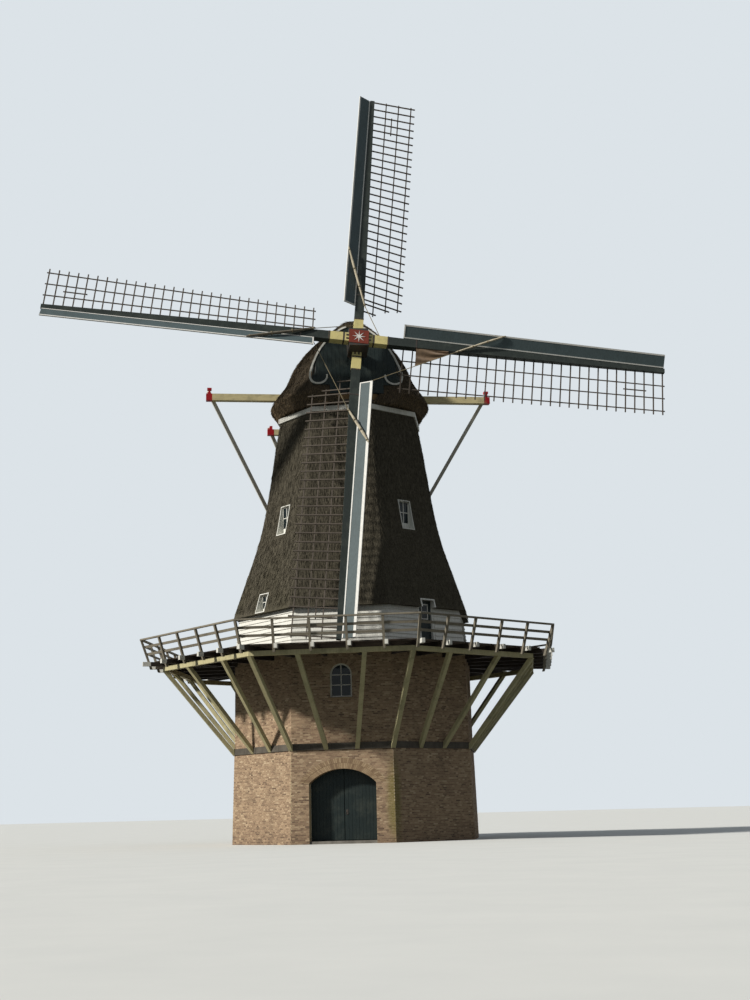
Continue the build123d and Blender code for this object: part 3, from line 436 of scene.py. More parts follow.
@dataclass(frozen=True)
class WallCore:
    """Mortar on the outer face of a base wall, and limewashed brick on its inner face."""

    name: str
    side: Side
    mortar: Colour
    lime: Colour
    outer: float = 4.3
    brick: Span = (0.221, 0.0615)
    joint: float = 0.006

    def material(self) -> Material:
        """Build the material.

        Returns:
            The material.
        """
        shader = Shader(self.name, 0.92, specular=0.15)
        angle = self.side.turn()
        depth = shader.along((math.sin(angle), -math.cos(angle), 0.0))
        turned = shader.mapped((1.0, 1.0, 1.0), (0.0, 0.0, -angle))
        upright = {"Rotation": (math.pi / 2, 0.0, 0.0), "Vector": turned}
        flat = shader.node("ShaderNodeMapping", upright).outputs[0]
        width, height = self.brick
        size = {"Scale": 1.0, "Brick Width": width, "Row Height": height, "Mortar Size": self.joint}
        tones = {"Color1": self.lime, "Color2": scaled(self.lime, 0.85), "Mortar": scaled(self.lime, 0.6)}
        pattern = shader.node("ShaderNodeTexBrick", {"Vector": flat, **size, **tones})
        grit = shader.noise(shader.coordinates, 30.0, 5.0, 0.7)
        mortar = shader.blend(shader.fade(grit, 0.3, 0.7), scaled(self.mortar, 0.75), self.mortar)
        outside = shader.fade(depth, self.outer, self.outer + 0.05)
        colour = shader.blend(outside, pattern.outputs[0], mortar)
        return shader.finish(colour, grit, 0.004)


@dataclass(frozen=True)
class Stone:
    """Dull stone, mortar or tile."""

    name: str
    colour: Colour
    roughness: float = 0.85

    def material(self) -> Material:
        """Build the material.

        Returns:
            The material.
        """
        shader = Shader(self.name, self.roughness, specular=0.25)
        patches = shader.noise(shader.coordinates, 2.5, 7.0, 0.65)
        grit = shader.noise(shader.coordinates, 60.0, 4.0, 0.7)
        mottle = shader.fade(patches, 0.35, 0.7)
        colour = shader.blend(mottle, scaled(self.colour, 0.7), scaled(self.colour, 1.12))
        colour = shader.blend(shader.fade(grit, 0.5, 0.75, 0.4), colour, scaled(self.colour, 0.55))
        return shader.finish(colour, grit, 0.003)


@dataclass(frozen=True)
class Metal:
    """Painted or rusty iron."""

    name: str
    colour: Colour
    rust: Colour
    rust_share: float = 0.6

    def material(self) -> Material:
        """Build the material.

        Returns:
            The material.
        """
        shader = Shader(self.name, 0.55, metallic=0.35, specular=0.5)
        patches = shader.noise(shader.coordinates, 14.0, 6.0, 0.7)
        rusty = shader.fade(patches, 0.48, 0.66, self.rust_share)
        colour = shader.blend(rusty, self.colour, self.rust)
        return shader.finish(colour, patches, 0.002)


@dataclass(frozen=True)
class Pane:
    """Old window glass in front of a dark room, drawn opaque: its base colour is painted shade of the room
    behind.
    """

    name: str
    colour: Colour
    roughness: float = 0.08
    coat: float = 0.06

    def material(self) -> Material:
        """Build the material.

        Returns:
            The material.
        """
        shader = Shader(self.name, self.roughness, specular=0.16)
        waves = shader.noise(shader.coordinates, 3.0, 2.0, 0.5)
        # Painted shade of the room behind the glass, lighter and darker in patches along the waves of the
        # glass.
        depth = shader.fade(waves, 0.3, 0.7)
        colour = shader.blend(depth, scaled(self.colour, 0.7), scaled(self.colour, 1.3))
        shader.surface.inputs["Coat Weight"].default_value = self.coat
        shader.surface.inputs["Coat Roughness"].default_value = 0.03
        return shader.finish(colour, waves, 0.004)


@dataclass(frozen=True)
class Cloth:
    """Canvas or rope: woven or laid fibre, with dirt in patches."""

    name: str
    colour: Colour
    stain: Colour
    pitch: float = 900.0
    sheen: float = 0.25

    def material(self) -> Material:
        """Build the material.

        Returns:
            The material.
        """
        shader = Shader(self.name, 0.92, specular=0.15)
        weave = shader.noise(shader.coordinates, self.pitch, 2.0, 0.5)
        patches = shader.noise(shader.coordinates, 6.0, 5.0, 0.65)
        threads = shader.fade(weave, 0.35, 0.65)
        colour = shader.blend(threads, scaled(self.colour, 0.82), scaled(self.colour, 1.1))
        colour = shader.blend(shader.fade(patches, 0.45, 0.7, 0.55), colour, self.stain)
        shader.surface.inputs["Sheen Weight"].default_value = self.sheen
        shader.surface.inputs["Sheen Roughness"].default_value = 0.6
        return shader.finish(colour, shader.sums("ADD", weave, patches), 0.0015)


WHITE = srgb("D8D8D1")
CREAM = srgb("D2C69A")
GREY_BROWN = srgb("575049")
TARRED = srgb("303634")
MILL_GREEN = srgb("222B2B")
BOARD_BLUE = srgb("515E61")
BARN_RED = srgb("A82028")
MORTAR = srgb("B9A98A")
GRAIN_X = (2.5, 30.0, 30.0)


@dataclass(frozen=True)
class Ring:
    """Two directions square to a line, which place points round it."""

    across: Vector
    other: Vector

    @classmethod
    def about(cls, ahead: Vector) -> "Ring":
        """Ring round a line that runs in a direction."""
        across = ahead.orthogonal().normalized()
        return cls(across, ahead.cross(across))

    def at(self, angle: float, radius: float) -> Vector:
        """Offset from the line at an angle and a distance."""
        return (self.across * math.cos(angle) + self.other * math.sin(angle)) * radius


class Shape:
    """Collects vertices and faces for one piece."""

    def __init__(self) -> None:
        """Start empty."""
        self.points: list[Vector] = []
        self.faces: list[tuple[int, ...]] = []
        self.tones: list[float] = []

    def add(self, points: Sequence[Point], faces: Sequence[Sequence[int]], tone: float = 0.5) -> None:
        """Add a patch of faces with its own points and one tone.

        Args:
            points: The points.
            faces: Faces, as numbers of these points.
            tone: Tone from 0 to 1.
        """
        first = len(self.points)
        self.points.extend(Vector(p) for p in points)
        self.tones.extend([tone] * len(points))
        self.faces.extend(tuple(first + i for i in one) for one in faces)

    def block(self, corners: Sequence[Point], tone: float = 0.5) -> None:
        """Add a six-sided block from its four lower corners and then the four above them."""
        faces = ((3, 2, 1, 0), (4, 5, 6, 7), (0, 1, 5, 4), (1, 2, 6, 5), (2, 3, 7, 6), (3, 0, 4, 7))
        self.add(corners, faces, tone)

    def box(self, low: Point, high: Point, place: Matrix | None = None, tone: float = 0.5) -> None:
        """Add a box between two corners, moved by a matrix.

        Args:
            low: Lowest corner.
            high: Highest corner.
            place: Matrix that moves it.
            tone: Tone from 0 to 1.
        """
        (a, b, c), (d, e, f) = low, high
        level = ((a, b), (d, b), (d, e), (a, e))
        place = place or Matrix.Identity(4)
        self.block([place @ Vector((x, y, z)) for z in (c, f) for x, y in level], tone)

    def prism(self, outline: Sequence[Point], offset: Vector, tone: float = 0.5) -> None:
        """Add an outline and its copy at an offset, with the sides between them.

        Args:
            outline: Points round the first face.
            offset: Way to the second face.
            tone: Tone from 0 to 1.
        """
        count = len(outline)
        points = [Vector(p) for p in outline]
        points += [p + offset for p in points]
        faces = [tuple(range(count))[::-1], tuple(range(count, 2 * count))]
        faces += [(i, (i + 1) % count, (i + 1) % count + count, i + count) for i in range(count)]
        self.add(points, faces, tone)

    def tube(self, path: Sequence[Vector], radius: float | Sequence[float], sides: int = 8) -> None:
        """Add a closed tube along a path.

        Args:
            path: Points along its middle.
            radius: One radius, or one for each point.
            sides: Number of sides.
        """
        radii = [radius] * len(path) if isinstance(radius, float) else list(radius)
        points, faces = [], []
        across = (path[1] - path[0]).orthogonal().normalized()
        for index, at in enumerate(path):
            ahead = (path[min(index + 1, len(path) - 1)] - path[max(index - 1, 0)]).normalized()
            across = (across - ahead * across.dot(ahead)).normalized()
            ring = Ring(across, ahead.cross(across))
            points += [at + ring.at(2 * math.pi * step / sides, radii[index]) for step in range(sides)]
        for index in range(len(path) - 1):
            for step in range(sides):
                a, b = index * sides + step, index * sides + (step + 1) % sides
                faces.append((a, b, b + sides, a + sides))
        faces.append(tuple(range(sides))[::-1])
        faces.append(tuple(range(len(points) - sides, len(points))))
        self.add(points, faces)

    def make(
        self, name: str, body: Body, material: Material, slot: str, replaces: Sequence[str] = ()
    ) -> Piece:
        """Turn what was collected into a finished piece.

        Args:
            name: Name of the piece.
            body: The body that carries it.
            material: Its finish.
            slot: The record's slot that the finish belongs to. Not used.
            replaces: Nodes of the frame that it stands for.

        Returns:
            The piece.
        """
        mesh = bpy.data.meshes.new(name)
        mesh.from_pydata([tuple(p) for p in self.points], [], self.faces)
        tone = mesh.attributes.new("tone", "FLOAT", "POINT")
        tone.data.foreach_set("value", self.tones)
        work = bmesh.new()
        work.from_mesh(mesh)
        bmesh.ops.recalc_face_normals(work, faces=work.faces)
        work.to_mesh(mesh)
        work.free()
        return finish_piece(name, mesh, body, material, replaces)


def finish_piece(
    name: str, mesh: Mesh, body: Body, material: Material, replaces: Sequence[str] = ()
) -> Piece:
    """Put a mesh into the scene as a piece.

    Args:
        name: Name of the piece.
        mesh: Its mesh, in the frame's coordinates.
        body: The body that carries it.
        material: Its finish.
        replaces: Nodes of the frame that it stands for.

    Returns:
        The piece.
    """
    mesh.name = name
    mesh.materials.clear()
    mesh.materials.append(material)
    piece = bpy.data.objects.new(name, mesh)
    bpy.context.scene.collection.objects.link(piece)
    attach(piece, body.value)
    if replaces:
        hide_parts(*replaces)
    LOG.info("%s: %d faces", name, len(mesh.polygons))
    return piece


class NodeTree(Nodes):
    """A geometry node tree that a script builds, and the mesh that it makes."""

    def __init__(self, name: str) -> None:
        """Start a tree with a geometry input and output.

        Args:
            name: Name of the tree.
        """
        super().__init__(bpy.data.node_groups.new(name, "GeometryNodeTree"))
        for way in ("INPUT", "OUTPUT"):
            self.tree.interface.new_socket("Geometry", in_out=way, socket_type="NodeSocketGeometry")
        self.given = self.node("NodeGroupInput")
        self.result = self.node("NodeGroupOutput")
        self.sockets: dict[str, str] = {}

    def setting(self, name: str, kind: str, value: object = None) -> Socket:
        """Add a named input and return its socket inside the tree.

        Args:
            name: Name of the input.
            kind: Its type.
            value: Its usual value.

        Returns:
            The socket.
        """
        made = self.tree.interface.new_socket(name, in_out="INPUT", socket_type=kind)
        if value is not None:
            made.default_value = value
        self.sockets[name] = made.identifier
        return self.given.outputs[name]

    def close(
        self, points: Socket, shape: Socket, turn: Socket, size: Socket, material: Socket
    ) -> None:
        """Set a shape on points, make it real, give it its material and end the tree.

        Args:
            points: The points.
            shape: The shape.
            turn: Its turn at each point.
            size: Its size at each point.
            material: Its finish.
        """
        given = {"Points": points, "Instance": shape, "Rotation": turn, "Scale": size}
        placed = self.node("GeometryNodeInstanceOnPoints", given).outputs[0]
        real = self.node("GeometryNodeRealizeInstances", {0: placed}).outputs[0]
        painted = self.node("GeometryNodeSetMaterial", {"Geometry": real, "Material": material})
        self.feed(self.result.inputs[0], painted.outputs[0])

    def run(self, mesh: Mesh, values: dict[str, object]) -> Mesh:
        """Apply the tree to a mesh.

        Args:
            mesh: Points or surface that the tree starts from.
            values: Values of its named inputs.

        Returns:
            The finished mesh.
        """
        holder = bpy.data.objects.new("holder", mesh)
        bpy.context.scene.collection.objects.link(holder)
        modifier = holder.modifiers.new("build", "NODES")
        modifier.node_group = self.tree
        for name, value in values.items():
            modifier[self.sockets[name]] = value
        holder.update_tag()
        graph = bpy.context.evaluated_depsgraph_get()
        built = bpy.data.meshes.new_from_object(holder.evaluated_get(graph), depsgraph=graph)
        holder.modifiers.remove(modifier)
        bpy.data.objects.remove(holder)
        return built


@dataclass(frozen=True)
class Block:
    """One brick: its place, size, turn about the vertical and tone."""

    centre: Vector
    size: Triple
    turn: float
    tone: float


class LaidBlocks(NodeTree):
    """Bricks, each set at its own point."""

    def __init__(self) -> None:
        """Build the tree."""
        super().__init__("laid blocks")
        material = self.setting("Material", "NodeSocketMaterial")
        growth = self.setting("Growth", "NodeSocketFloat", 1.0)
        size, turn = (
            self.node("GeometryNodeInputNamedAttribute", {"Name": name}, data_type="FLOAT_VECTOR")
            for name in ("size", "turn")
        )
        given = {0: size.outputs[0], "Scale": growth}
        grown = self.node("ShaderNodeVectorMath", given, operation="SCALE").outputs[0]
        turned = self.node("FunctionNodeEulerToRotation", {0: turn.outputs[0]}).outputs[0]
        cube = self.node("GeometryNodeMeshCube").outputs["Mesh"]
        self.close(self.given.outputs["Geometry"], cube, turned, grown, material)

    def lay(self, name: str, blocks: Sequence[Block], material: Material) -> Piece:
        """Lay bricks of the tower as one piece.

        Args:
            name: Name of the piece.
            blocks: The bricks.
            material: Their finish.

        Returns:
            The piece.
        """
        points = bpy.data.meshes.new(name)
        points.from_pydata([tuple(b.centre) for b in blocks], [], [])
        sizes = points.attributes.new("size", "FLOAT_VECTOR", "POINT")
        sizes.data.foreach_set("vector", [x for b in blocks for x in b.size])
        turns = points.attributes.new("turn", "FLOAT_VECTOR", "POINT")
        turns.data.foreach_set("vector", [x for b in blocks for x in (0.0, 0.0, b.turn)])
        tones = points.attributes.new("tone", "FLOAT", "POINT")
        tones.data.foreach_set("value", [b.tone for b in blocks])
        mesh = self.run(points, {"Material": material, "Growth": 1.0})
        return finish_piece(name, mesh, Body.TOWER, material)


@dataclass(frozen=True)
class ReedSize:
    """How thickly reeds lie, and how long, thick and raised they are."""

    density: float
    length: float
    radius: float
    lift: float
    seed: int


class Reeds(NodeTree):
    """Loose reed ends scattered over a slope, lying down it."""

    def __init__(self) -> None:
        """Build the tree."""
        super().__init__("reeds")
        material = self.setting("Material", "NodeSocketMaterial")
        density = self.setting("Density", "NodeSocketFloat", 60.0)
        length = self.setting("Length", "NodeSocketFloat", 0.3)
        radius = self.setting("Radius", "NodeSocketFloat", 0.008)
        lift = self.setting("Lift", "NodeSocketFloat", 0.12)
        seed = self.setting("Seed", "NodeSocketInt", 1)
        given = {"Mesh": self.given.outputs["Geometry"], "Density": density, "Seed": seed}
        scatter = self.node("GeometryNodeDistributePointsOnFaces", given)
        normal = scatter.outputs["Normal"]
        drop = self.vectors("PROJECT", DOWN, normal)
        slope = self.vectors("SUBTRACT", DOWN, drop.outputs[0])
        raised = self.node("ShaderNodeVectorMath", {0: normal, "Scale": lift}, operation="SCALE")
        course = self.vectors("ADD", slope.outputs[0], raised.outputs[0])
        given = {"Min": (-0.12, -0.12, -0.05), "Max": (0.12, 0.12, 0.05)}
        stray = self.node("FunctionNodeRandomValue", given, data_type="FLOAT_VECTOR")
        given = {"Vector": self.vectors("ADD", course.outputs[0], stray.outputs[0]).outputs[0]}
        aligned = self.node("FunctionNodeAlignRotationToVector", given, axis="Z").outputs[0]
        given = {"Vertices": 3, "Radius Bottom": radius, "Radius Top": 0.0, "Depth": length}
        cone = self.node("GeometryNodeMeshCone", given, fill_type="NONE").outputs["Mesh"]
        shade = self.node("FunctionNodeRandomValue", data_type="FLOAT").outputs[1]
        given = {"Geometry": scatter.outputs["Points"], "Name": "tone", "Value": shade}
        toned = self.node("GeometryNodeStoreNamedAttribute", given, data_type="FLOAT", domain="POINT")
        size = self.node("FunctionNodeRandomValue", {2: 0.5, 3: 1.4}, data_type="FLOAT").outputs[1]
        self.close(toned.outputs[0], cone, aligned, size, material)

    def cover(
        self, name: str, surface: Mesh, size: ReedSize, body: Body, material: Material
    ) -> Piece:
        """Cover a surface with reeds, as one piece.

        Args:
            name: Name of the piece.
            surface: The surface.
            size: Sizes of the reeds.
            body: The body that carries them.
            material: Their finish.

        Returns:
            The piece.
        """
        values = {
            "Material": material, "Density": size.density, "Length": size.length, "Radius": size.radius,
            "Lift": size.lift, "Seed": size.seed,
        }
        return finish_piece(name, self.run(surface, values), body, material)


def caster(*names: str) -> BVHTree:
    """Search tree over some of the frame's nodes.

    Args:
        names: The nodes.

    Returns:
        The tree.
    """
    points, faces = [], []
    for name in names:
        mesh = frame["nodes"][name].data
        first = len(points)
        points.extend(v.co.copy() for v in mesh.vertices)
        faces.extend(tuple(first + i for i in p.vertices) for p in mesh.polygons)
    return BVHTree.FromPolygons(points, faces)


@dataclass(frozen=True)
class Probe:
    """Measures how far out a surface stands, looking in square to one side."""

    tree: BVHTree
    place: Matrix
    start: float = 6.0
    reach: float = 3.0

    def depth(self, across: float, height: float) -> float | None:
        """Distance of the surface from the middle.

        Args:
            across: Place along the side.
            height: Height above the ground.

        Returns:
            The distance, or None where nothing is met.
        """
        origin = self.place @ Vector((across, -self.start, height))
        hit = self.tree.ray_cast(origin, self.place @ Vector((0.0, 1.0, 0.0)), self.reach)
        return None if hit[0] is None else self.start - hit[3]


def open_faces(name: str, keep: Callable[[Vector, Vector], bool]) -> Mesh:
    """The outer faces of a node, as a mesh of their own.

    Args:
        name: The node.
        keep: Says for a face's centre and normal whether it stays.

    Returns:
        The mesh.
    """
    mesh = frame["nodes"][name].data.copy()
    work = bmesh.new()
    work.from_mesh(mesh)
    bmesh.ops.remove_doubles(work, verts=work.verts, dist=WELD)
    tree = BVHTree.FromBMesh(work)
    hidden = []
    for face in work.faces:
        centre = face.calc_center_median()
        blocked = tree.ray_cast(centre + face.normal * 0.01, face.normal)[0] is not None
        if blocked or not keep(centre, face.normal):
            hidden.append(face)
    bmesh.ops.delete(work, geom=hidden, context="FACES")
    work.to_mesh(mesh)
    work.free()
    return mesh


def edge_of(test: Callable[[float], bool], inside: float, outside: float) -> float:
    """Last place on a line where a test still holds, found by halving.

    Args:
        test: The test.
        inside: A place where it holds.
        outside: A place where it doesn't.

    Returns:
        The place.
    """
    for _ in range(7):
        middle = (inside + outside) / 2
        if test(middle):
            inside = middle
        else:
            outside = middle
    return inside


def runs(
    test: Callable[[float], bool], low: float, high: float, step: float = 0.03
) -> list[Span]:
    """Stretches of a line on which a test holds.

    Args:
        test: The test.
        low: Start of the line.
        high: End of the line.
        step: Distance between first tries.

    Returns:
        Start and end of each stretch.
    """
    count = max(2, int((high - low) / step))
    found, start, last = [], None, None
    for index in range(count + 1):
        at = low + (high - low) * index / count
        if test(at):
            if start is None:
                start = at if last is None else edge_of(test, at, last)
        elif start is not None:
            found.append((start, edge_of(test, last, at)))
            start = None
        last = at
    if start is not None:
        found.append((start, high))
    return found


@dataclass
class BrickBase:
    """Bricks on the eight walls, the entrance arch, window heads and sills, and the ledge."""

    wall_top: float = 7.20
    wall_depth: float = 1.45
    half_side: float = 2.05
    course: float = 0.0612
    brick: Span = (0.210, 0.050)
    header: float = 0.100
    shortest: float = 0.03
    joint: float = 0.011
    end_gap: float = 0.002
    proud: float = 0.006
    uneven: float = 0.0025
    thick: float = 0.03
    head_centre: float = 6.335
    head_radius: float = 0.425
    head_ring: float = 0.20
    head_brick: Span = (0.06, 0.90)
    head_count: int = 24
    head_proud: float = 0.012
    above_head: float = 7.05
    arch: tuple[float, float, float, float] = (1.8106, 0.9594, 1.9824, 1.1876)
    arch_half: float = 1.28
    arch_spring: float = 2.24
    arch_count: int = 50
    arch_brick: float = 0.82
    arch_rings: tuple[Span, ...] = ((0.0, 0.52), (0.55, 0.98))
    arch_proud: float = 0.008
    foot_out: float = 4.804
    ledge_out: float = 4.721
    sill: Triple = (0.49, 5.385, 5.462)
    sill_depth: Span = (4.745, 4.60)
    ledge: Triple = (4.768, 3.49, 3.74)
    ledge_back: float = 4.62
    ledge_slope: float = 0.03
    ledge_gap: float = 0.004
    ledge_count: int = 5
    rng: random.Random = field(default_factory=lambda: random.Random(7))

    def wall_names(self, side: Side) -> list[str]:
        """Nodes of one side's wall.

        Args:
            side: The side.

        Returns:
            Their names.
        """
        if side is Side.FRONT:
            return ["front_pier_left", "front_pier_right", "front_wall"]
        return [f"{side.name.lower()}_wall"]

    def covered(self, probe: Probe, side: Side, across: float, height: float) -> bool:
        """Whether plain bricks cover the wall at a place.

        Args:
            probe: Finds the wall.
            side: The side.
            across: Place along the side.
            height: Height above the ground.

        Returns:
            False in an opening and under the ring of a window head.
        """
        off = math.hypot(across, height - self.head_centre)
        beside_head = side in WINDOW_SIDES and height > self.head_centre - 0.02
        if beside_head and off < self.head_radius + self.head_ring + self.head_proud:
            return False
        return probe.depth(across, height) is not None

    def bricks(self, side: Side) -> list[Block]:
        """Bricks in cross bond over one side.

        Args:
            side: The side.

        Returns:
            Its bricks.
        """
        probe = Probe(caster(*self.wall_names(side)), side.place(), reach=self.wall_depth)
        blocks = []
        for row in range(int(self.wall_top / self.course)):
            z = (row + 0.5) * self.course
            stretchers = row % 2 == 0
            length = self.brick[0] if stretchers else self.header
            pitch = length + self.joint
            shift = (0.0, 0.5)[row // 2 % 2] * pitch if stretchers else pitch / 2
            stretches = runs(lambda u: self.covered(probe, side, u, z), -self.half_side, self.half_side)
            for start, end in stretches:
                first = math.floor((start - shift) / pitch)
                for index in range(first, first + int((end - start) / pitch) + 3):
                    left = max(start + self.end_gap, shift + index * pitch)
                    right = min(end - self.end_gap, shift + index * pitch + length)
                    if right - left < self.shortest:
                        continue
                    middle = (left + right) / 2
                    out = probe.depth(middle, z)
                    if out is None:
                        continue
                    uneven = self.rng.uniform(-self.uneven, self.uneven)
                    y = -(out + self.proud - self.thick / 2 + uneven)
                    size = (right - left, self.thick, self.brick[1])
                    centre = probe.place @ Vector((middle, y, z))
                    blocks.append(Block(centre, size, side.turn(), self.tone(z)))
        return blocks

    def tone(self, z: float) -> float:
        """Tone of one brick, darker towards the foot of the wall."""
        # Bricks darken towards the foot of the wall, over its lowest 0.8 m.
        foot_darkening = 0.25 * max(0.0, 1.0 - z / 0.8)
        return min(1.0, max(0.0, self.rng.gauss(0.52, 0.2) - foot_darkening))

    def arch_point(self, share: float, depth: float) -> Vector:
        """Point on the face of the entrance arch.

        Args:
            share: Place along the arch, from -1 to 1.
            depth: 0 at the opening and 1 at the arch's outer line.

        Returns:
            The point.
        """
        inner_r, inner_z, outer_r, outer_z = self.arch
        a = math.asin(self.arch_half / inner_r) * share
        b = math.acos((self.arch_spring - outer_z) / outer_r) * share
        low = Vector((inner_r * math.sin(a), 0.0, inner_z + inner_r * math.cos(a)))
        high = Vector((outer_r * math.sin(b), 0.0, outer_z + outer_r * math.cos(b)))
        point = low.lerp(high, depth)
        ledge_low = self.ledge[1]
        batter = (self.foot_out - self.ledge_out) * min(point.z, ledge_low) / ledge_low
        point.y = -(self.foot_out - batter + self.arch_proud)
        return point

    def arch_bricks(self) -> Shape:
        """Two rings of bricks over the entrance.

        Returns:
            The bricks.
        """
        shape = Shape()
        count = self.arch_count
        for row, (low, high) in enumerate(self.arch_rings):
            for index in range(count):
                shift = 0.5 * row
                a = max(-1.0, -1 + 2 * (index + shift) / count)
                b = min(1.0, -1 + 2 * (index + shift + self.arch_brick) / count)
                if b - a < 0.01:
                    continue
                ends = ((a, low), (b, low), (b, high), (a, high))
                corners = [self.arch_point(share, depth) for share, depth in ends]
                shape.prism(corners, Vector((0.0, self.thick, 0.0)), self.rng.random())
        return shape

    def window_heads(self) -> Shape:
        """A ring of upright bricks round the head of each arched window.

        Returns:
            The bricks.
        """
        shape = Shape()
        for side in WINDOW_SIDES:
            place = side.place()
            probe = Probe(caster(*self.wall_names(side)), place)
            face = -probe.depth(0.0, self.above_head) - self.head_proud
            back = place @ Vector((0.0, self.thick, 0.0))
            for index in range(self.head_count):
                a, b = (math.pi * (index + part) / self.head_count for part in self.head_brick)
                ring = []
                for angle, out in ((a, 0.004), (b, 0.004), (b, self.head_ring), (a, self.head_ring)):
                    far = self.head_radius + out
                    point = (-far * math.cos(angle), face, self.head_centre + far * math.sin(angle))
                    ring.append(place @ Vector(point))
                shape.prism(ring, back, self.rng.random() * 0.6 + 0.3)
        return shape

    def sills(self) -> Shape:
        """Sloping sills of the arched windows.

        Returns:
            The sills.
        """
        shape = Shape()
        half, low, high = self.sill
        front, back = self.sill_depth
        profile = [(-front, low), (-back, low), (-back, high + 0.015), (-front, high - 0.02)]
        for side in WINDOW_SIDES:
            outline = [side.place() @ Vector((-half, y, z)) for y, z in profile]
            shape.prism(outline, side.place() @ Vector((2 * half, 0.0, 0.0)))
        return shape

    def ledge_stones(self) -> Shape:
        """Ledge stones with fine joints, mitred at the corners.

        Returns:
            The stones.
        """
        shape = Shape()
        out, low, high = self.ledge
        back, gap, slope = self.ledge_back, self.ledge_gap, math.tan(HALF_ANGLE)
        for side in Side:
            for index in range(self.ledge_count):
                ends = [
                    (2 * (index / self.ledge_count) - 1, gap),
                    (2 * ((index + 1) / self.ledge_count) - 1, -gap),
                ]
                corners = []
                for z, front in ((low, out), (high, out - self.ledge_slope)):
                    for y, pair in ((front, ends), (back, ends[::-1])):
                        corners += [Vector((share * y * slope + off, -y, z)) for share, off in pair]
                shape.block([side.place() @ c for c in corners], self.rng.random())
        return shape

    def build(self, blocks: LaidBlocks, looks: Finishes) -> None:
        """Make the pieces.

        Args:
            blocks: The tree that lays bricks.
            looks: Finishes by name.
        """
        for side in Side:
            blocks.lay(f"wall_bricks_{side.name.lower()}", self.bricks(side), looks["bricks"])
        self.arch_bricks().make("arch_bricks", Body.TOWER, looks["arch_bricks"], "arch_brick")
        self.window_heads().make("window_heads", Body.TOWER, looks["bricks"], "brick")
        self.sills().make("window_sills", Body.TOWER, looks["arch_bricks"], "arch_brick")
        self.ledge_stones().make("ledge_stones", Body.TOWER, looks["ledge"], "ledge", ["ledge_course"])


@dataclass
class Entrance:
    """Boards, lock plate and ring pull of the two entrance leaves."""

    foot: float = 0.14
    head: float = 2.86
    edge: float = 1.36
    meeting: float = 0.02
    board: float = 0.135
    gap: float = 0.004
    front: float = -4.227
    proud: float = 0.014
    plate: tuple[float, float, float, float] = (0.05, 0.14, 1.06, 1.26)
    plate_proud: Span = (0.022, 0.010)
    ring: Triple = (0.095, -0.03, 1.12)
    ring_radius: float = 0.045
    wire: float = 0.007

    def boards(self, hand: int) -> Shape:
        """Upright boards on one leaf.

        Args:
            hand: -1 for the left leaf and 1 for the right one.

        Returns:
            The boards.
        """
        shape = Shape()
        count = round((self.edge - self.meeting) / self.board)
        width = (self.edge - self.meeting) / count
        for index in range(count):
            low = self.meeting + index * width + self.gap
            high = low + width - 2 * self.gap
            outer, inner = self.front - self.proud, self.front + self.gap
            shape.box((hand * low, outer, self.foot), (hand * high, inner, self.head))
        return shape

    def furniture(self) -> Shape:
        """Lock plate and ring pull beside the meeting edge.

        Returns:
            Both.
        """
        shape = Shape()
        left, right, low, high = self.plate
        outer, inner = (self.front - proud for proud in self.plate_proud)
        shape.box((left, outer, low), (right, inner, high))
        x, y, z = self.ring
        path = []
        for step in range(17):
            angle = 2 * math.pi * step / 16
            across, up = self.ring_radius * math.sin(angle), self.ring_radius * math.cos(angle)
            path.append(Vector((x + across, self.front + y, z + up)))
        shape.tube(path, self.wire, 6)
        return shape

    def build(self, looks: Finishes) -> None:
        """Make the pieces.

        Args:
            looks: Finishes by name.
        """
        for hand, body in ((-1, Body.LEFT_DOOR), (1, Body.RIGHT_DOOR)):
            self.boards(hand).make(f"{body.value}_boards", body, looks["green_paint"], "green_paint")
        self.furniture().make("door_furniture", Body.RIGHT_DOOR, looks["iron"], "iron")


@dataclass(frozen=True)
class PaneFace:
    """Outer face of one pane, with its directions across, up and out."""

    middle: Vector
    across: Vector
    up: Vector
    normal: Vector
    points: tuple[Vector, ...]

    def reach(self, direction: Vector) -> Span:
        """Lowest and highest place of the face along a direction."""
        places = [(p - self.middle).dot(direction) for p in self.points]
        return min(places), max(places)

    def at(self, u: float, v: float, off: float) -> Vector:
        """Point at a place across, up and out."""
        return self.middle + self.across * u + self.up * v + self.normal * off


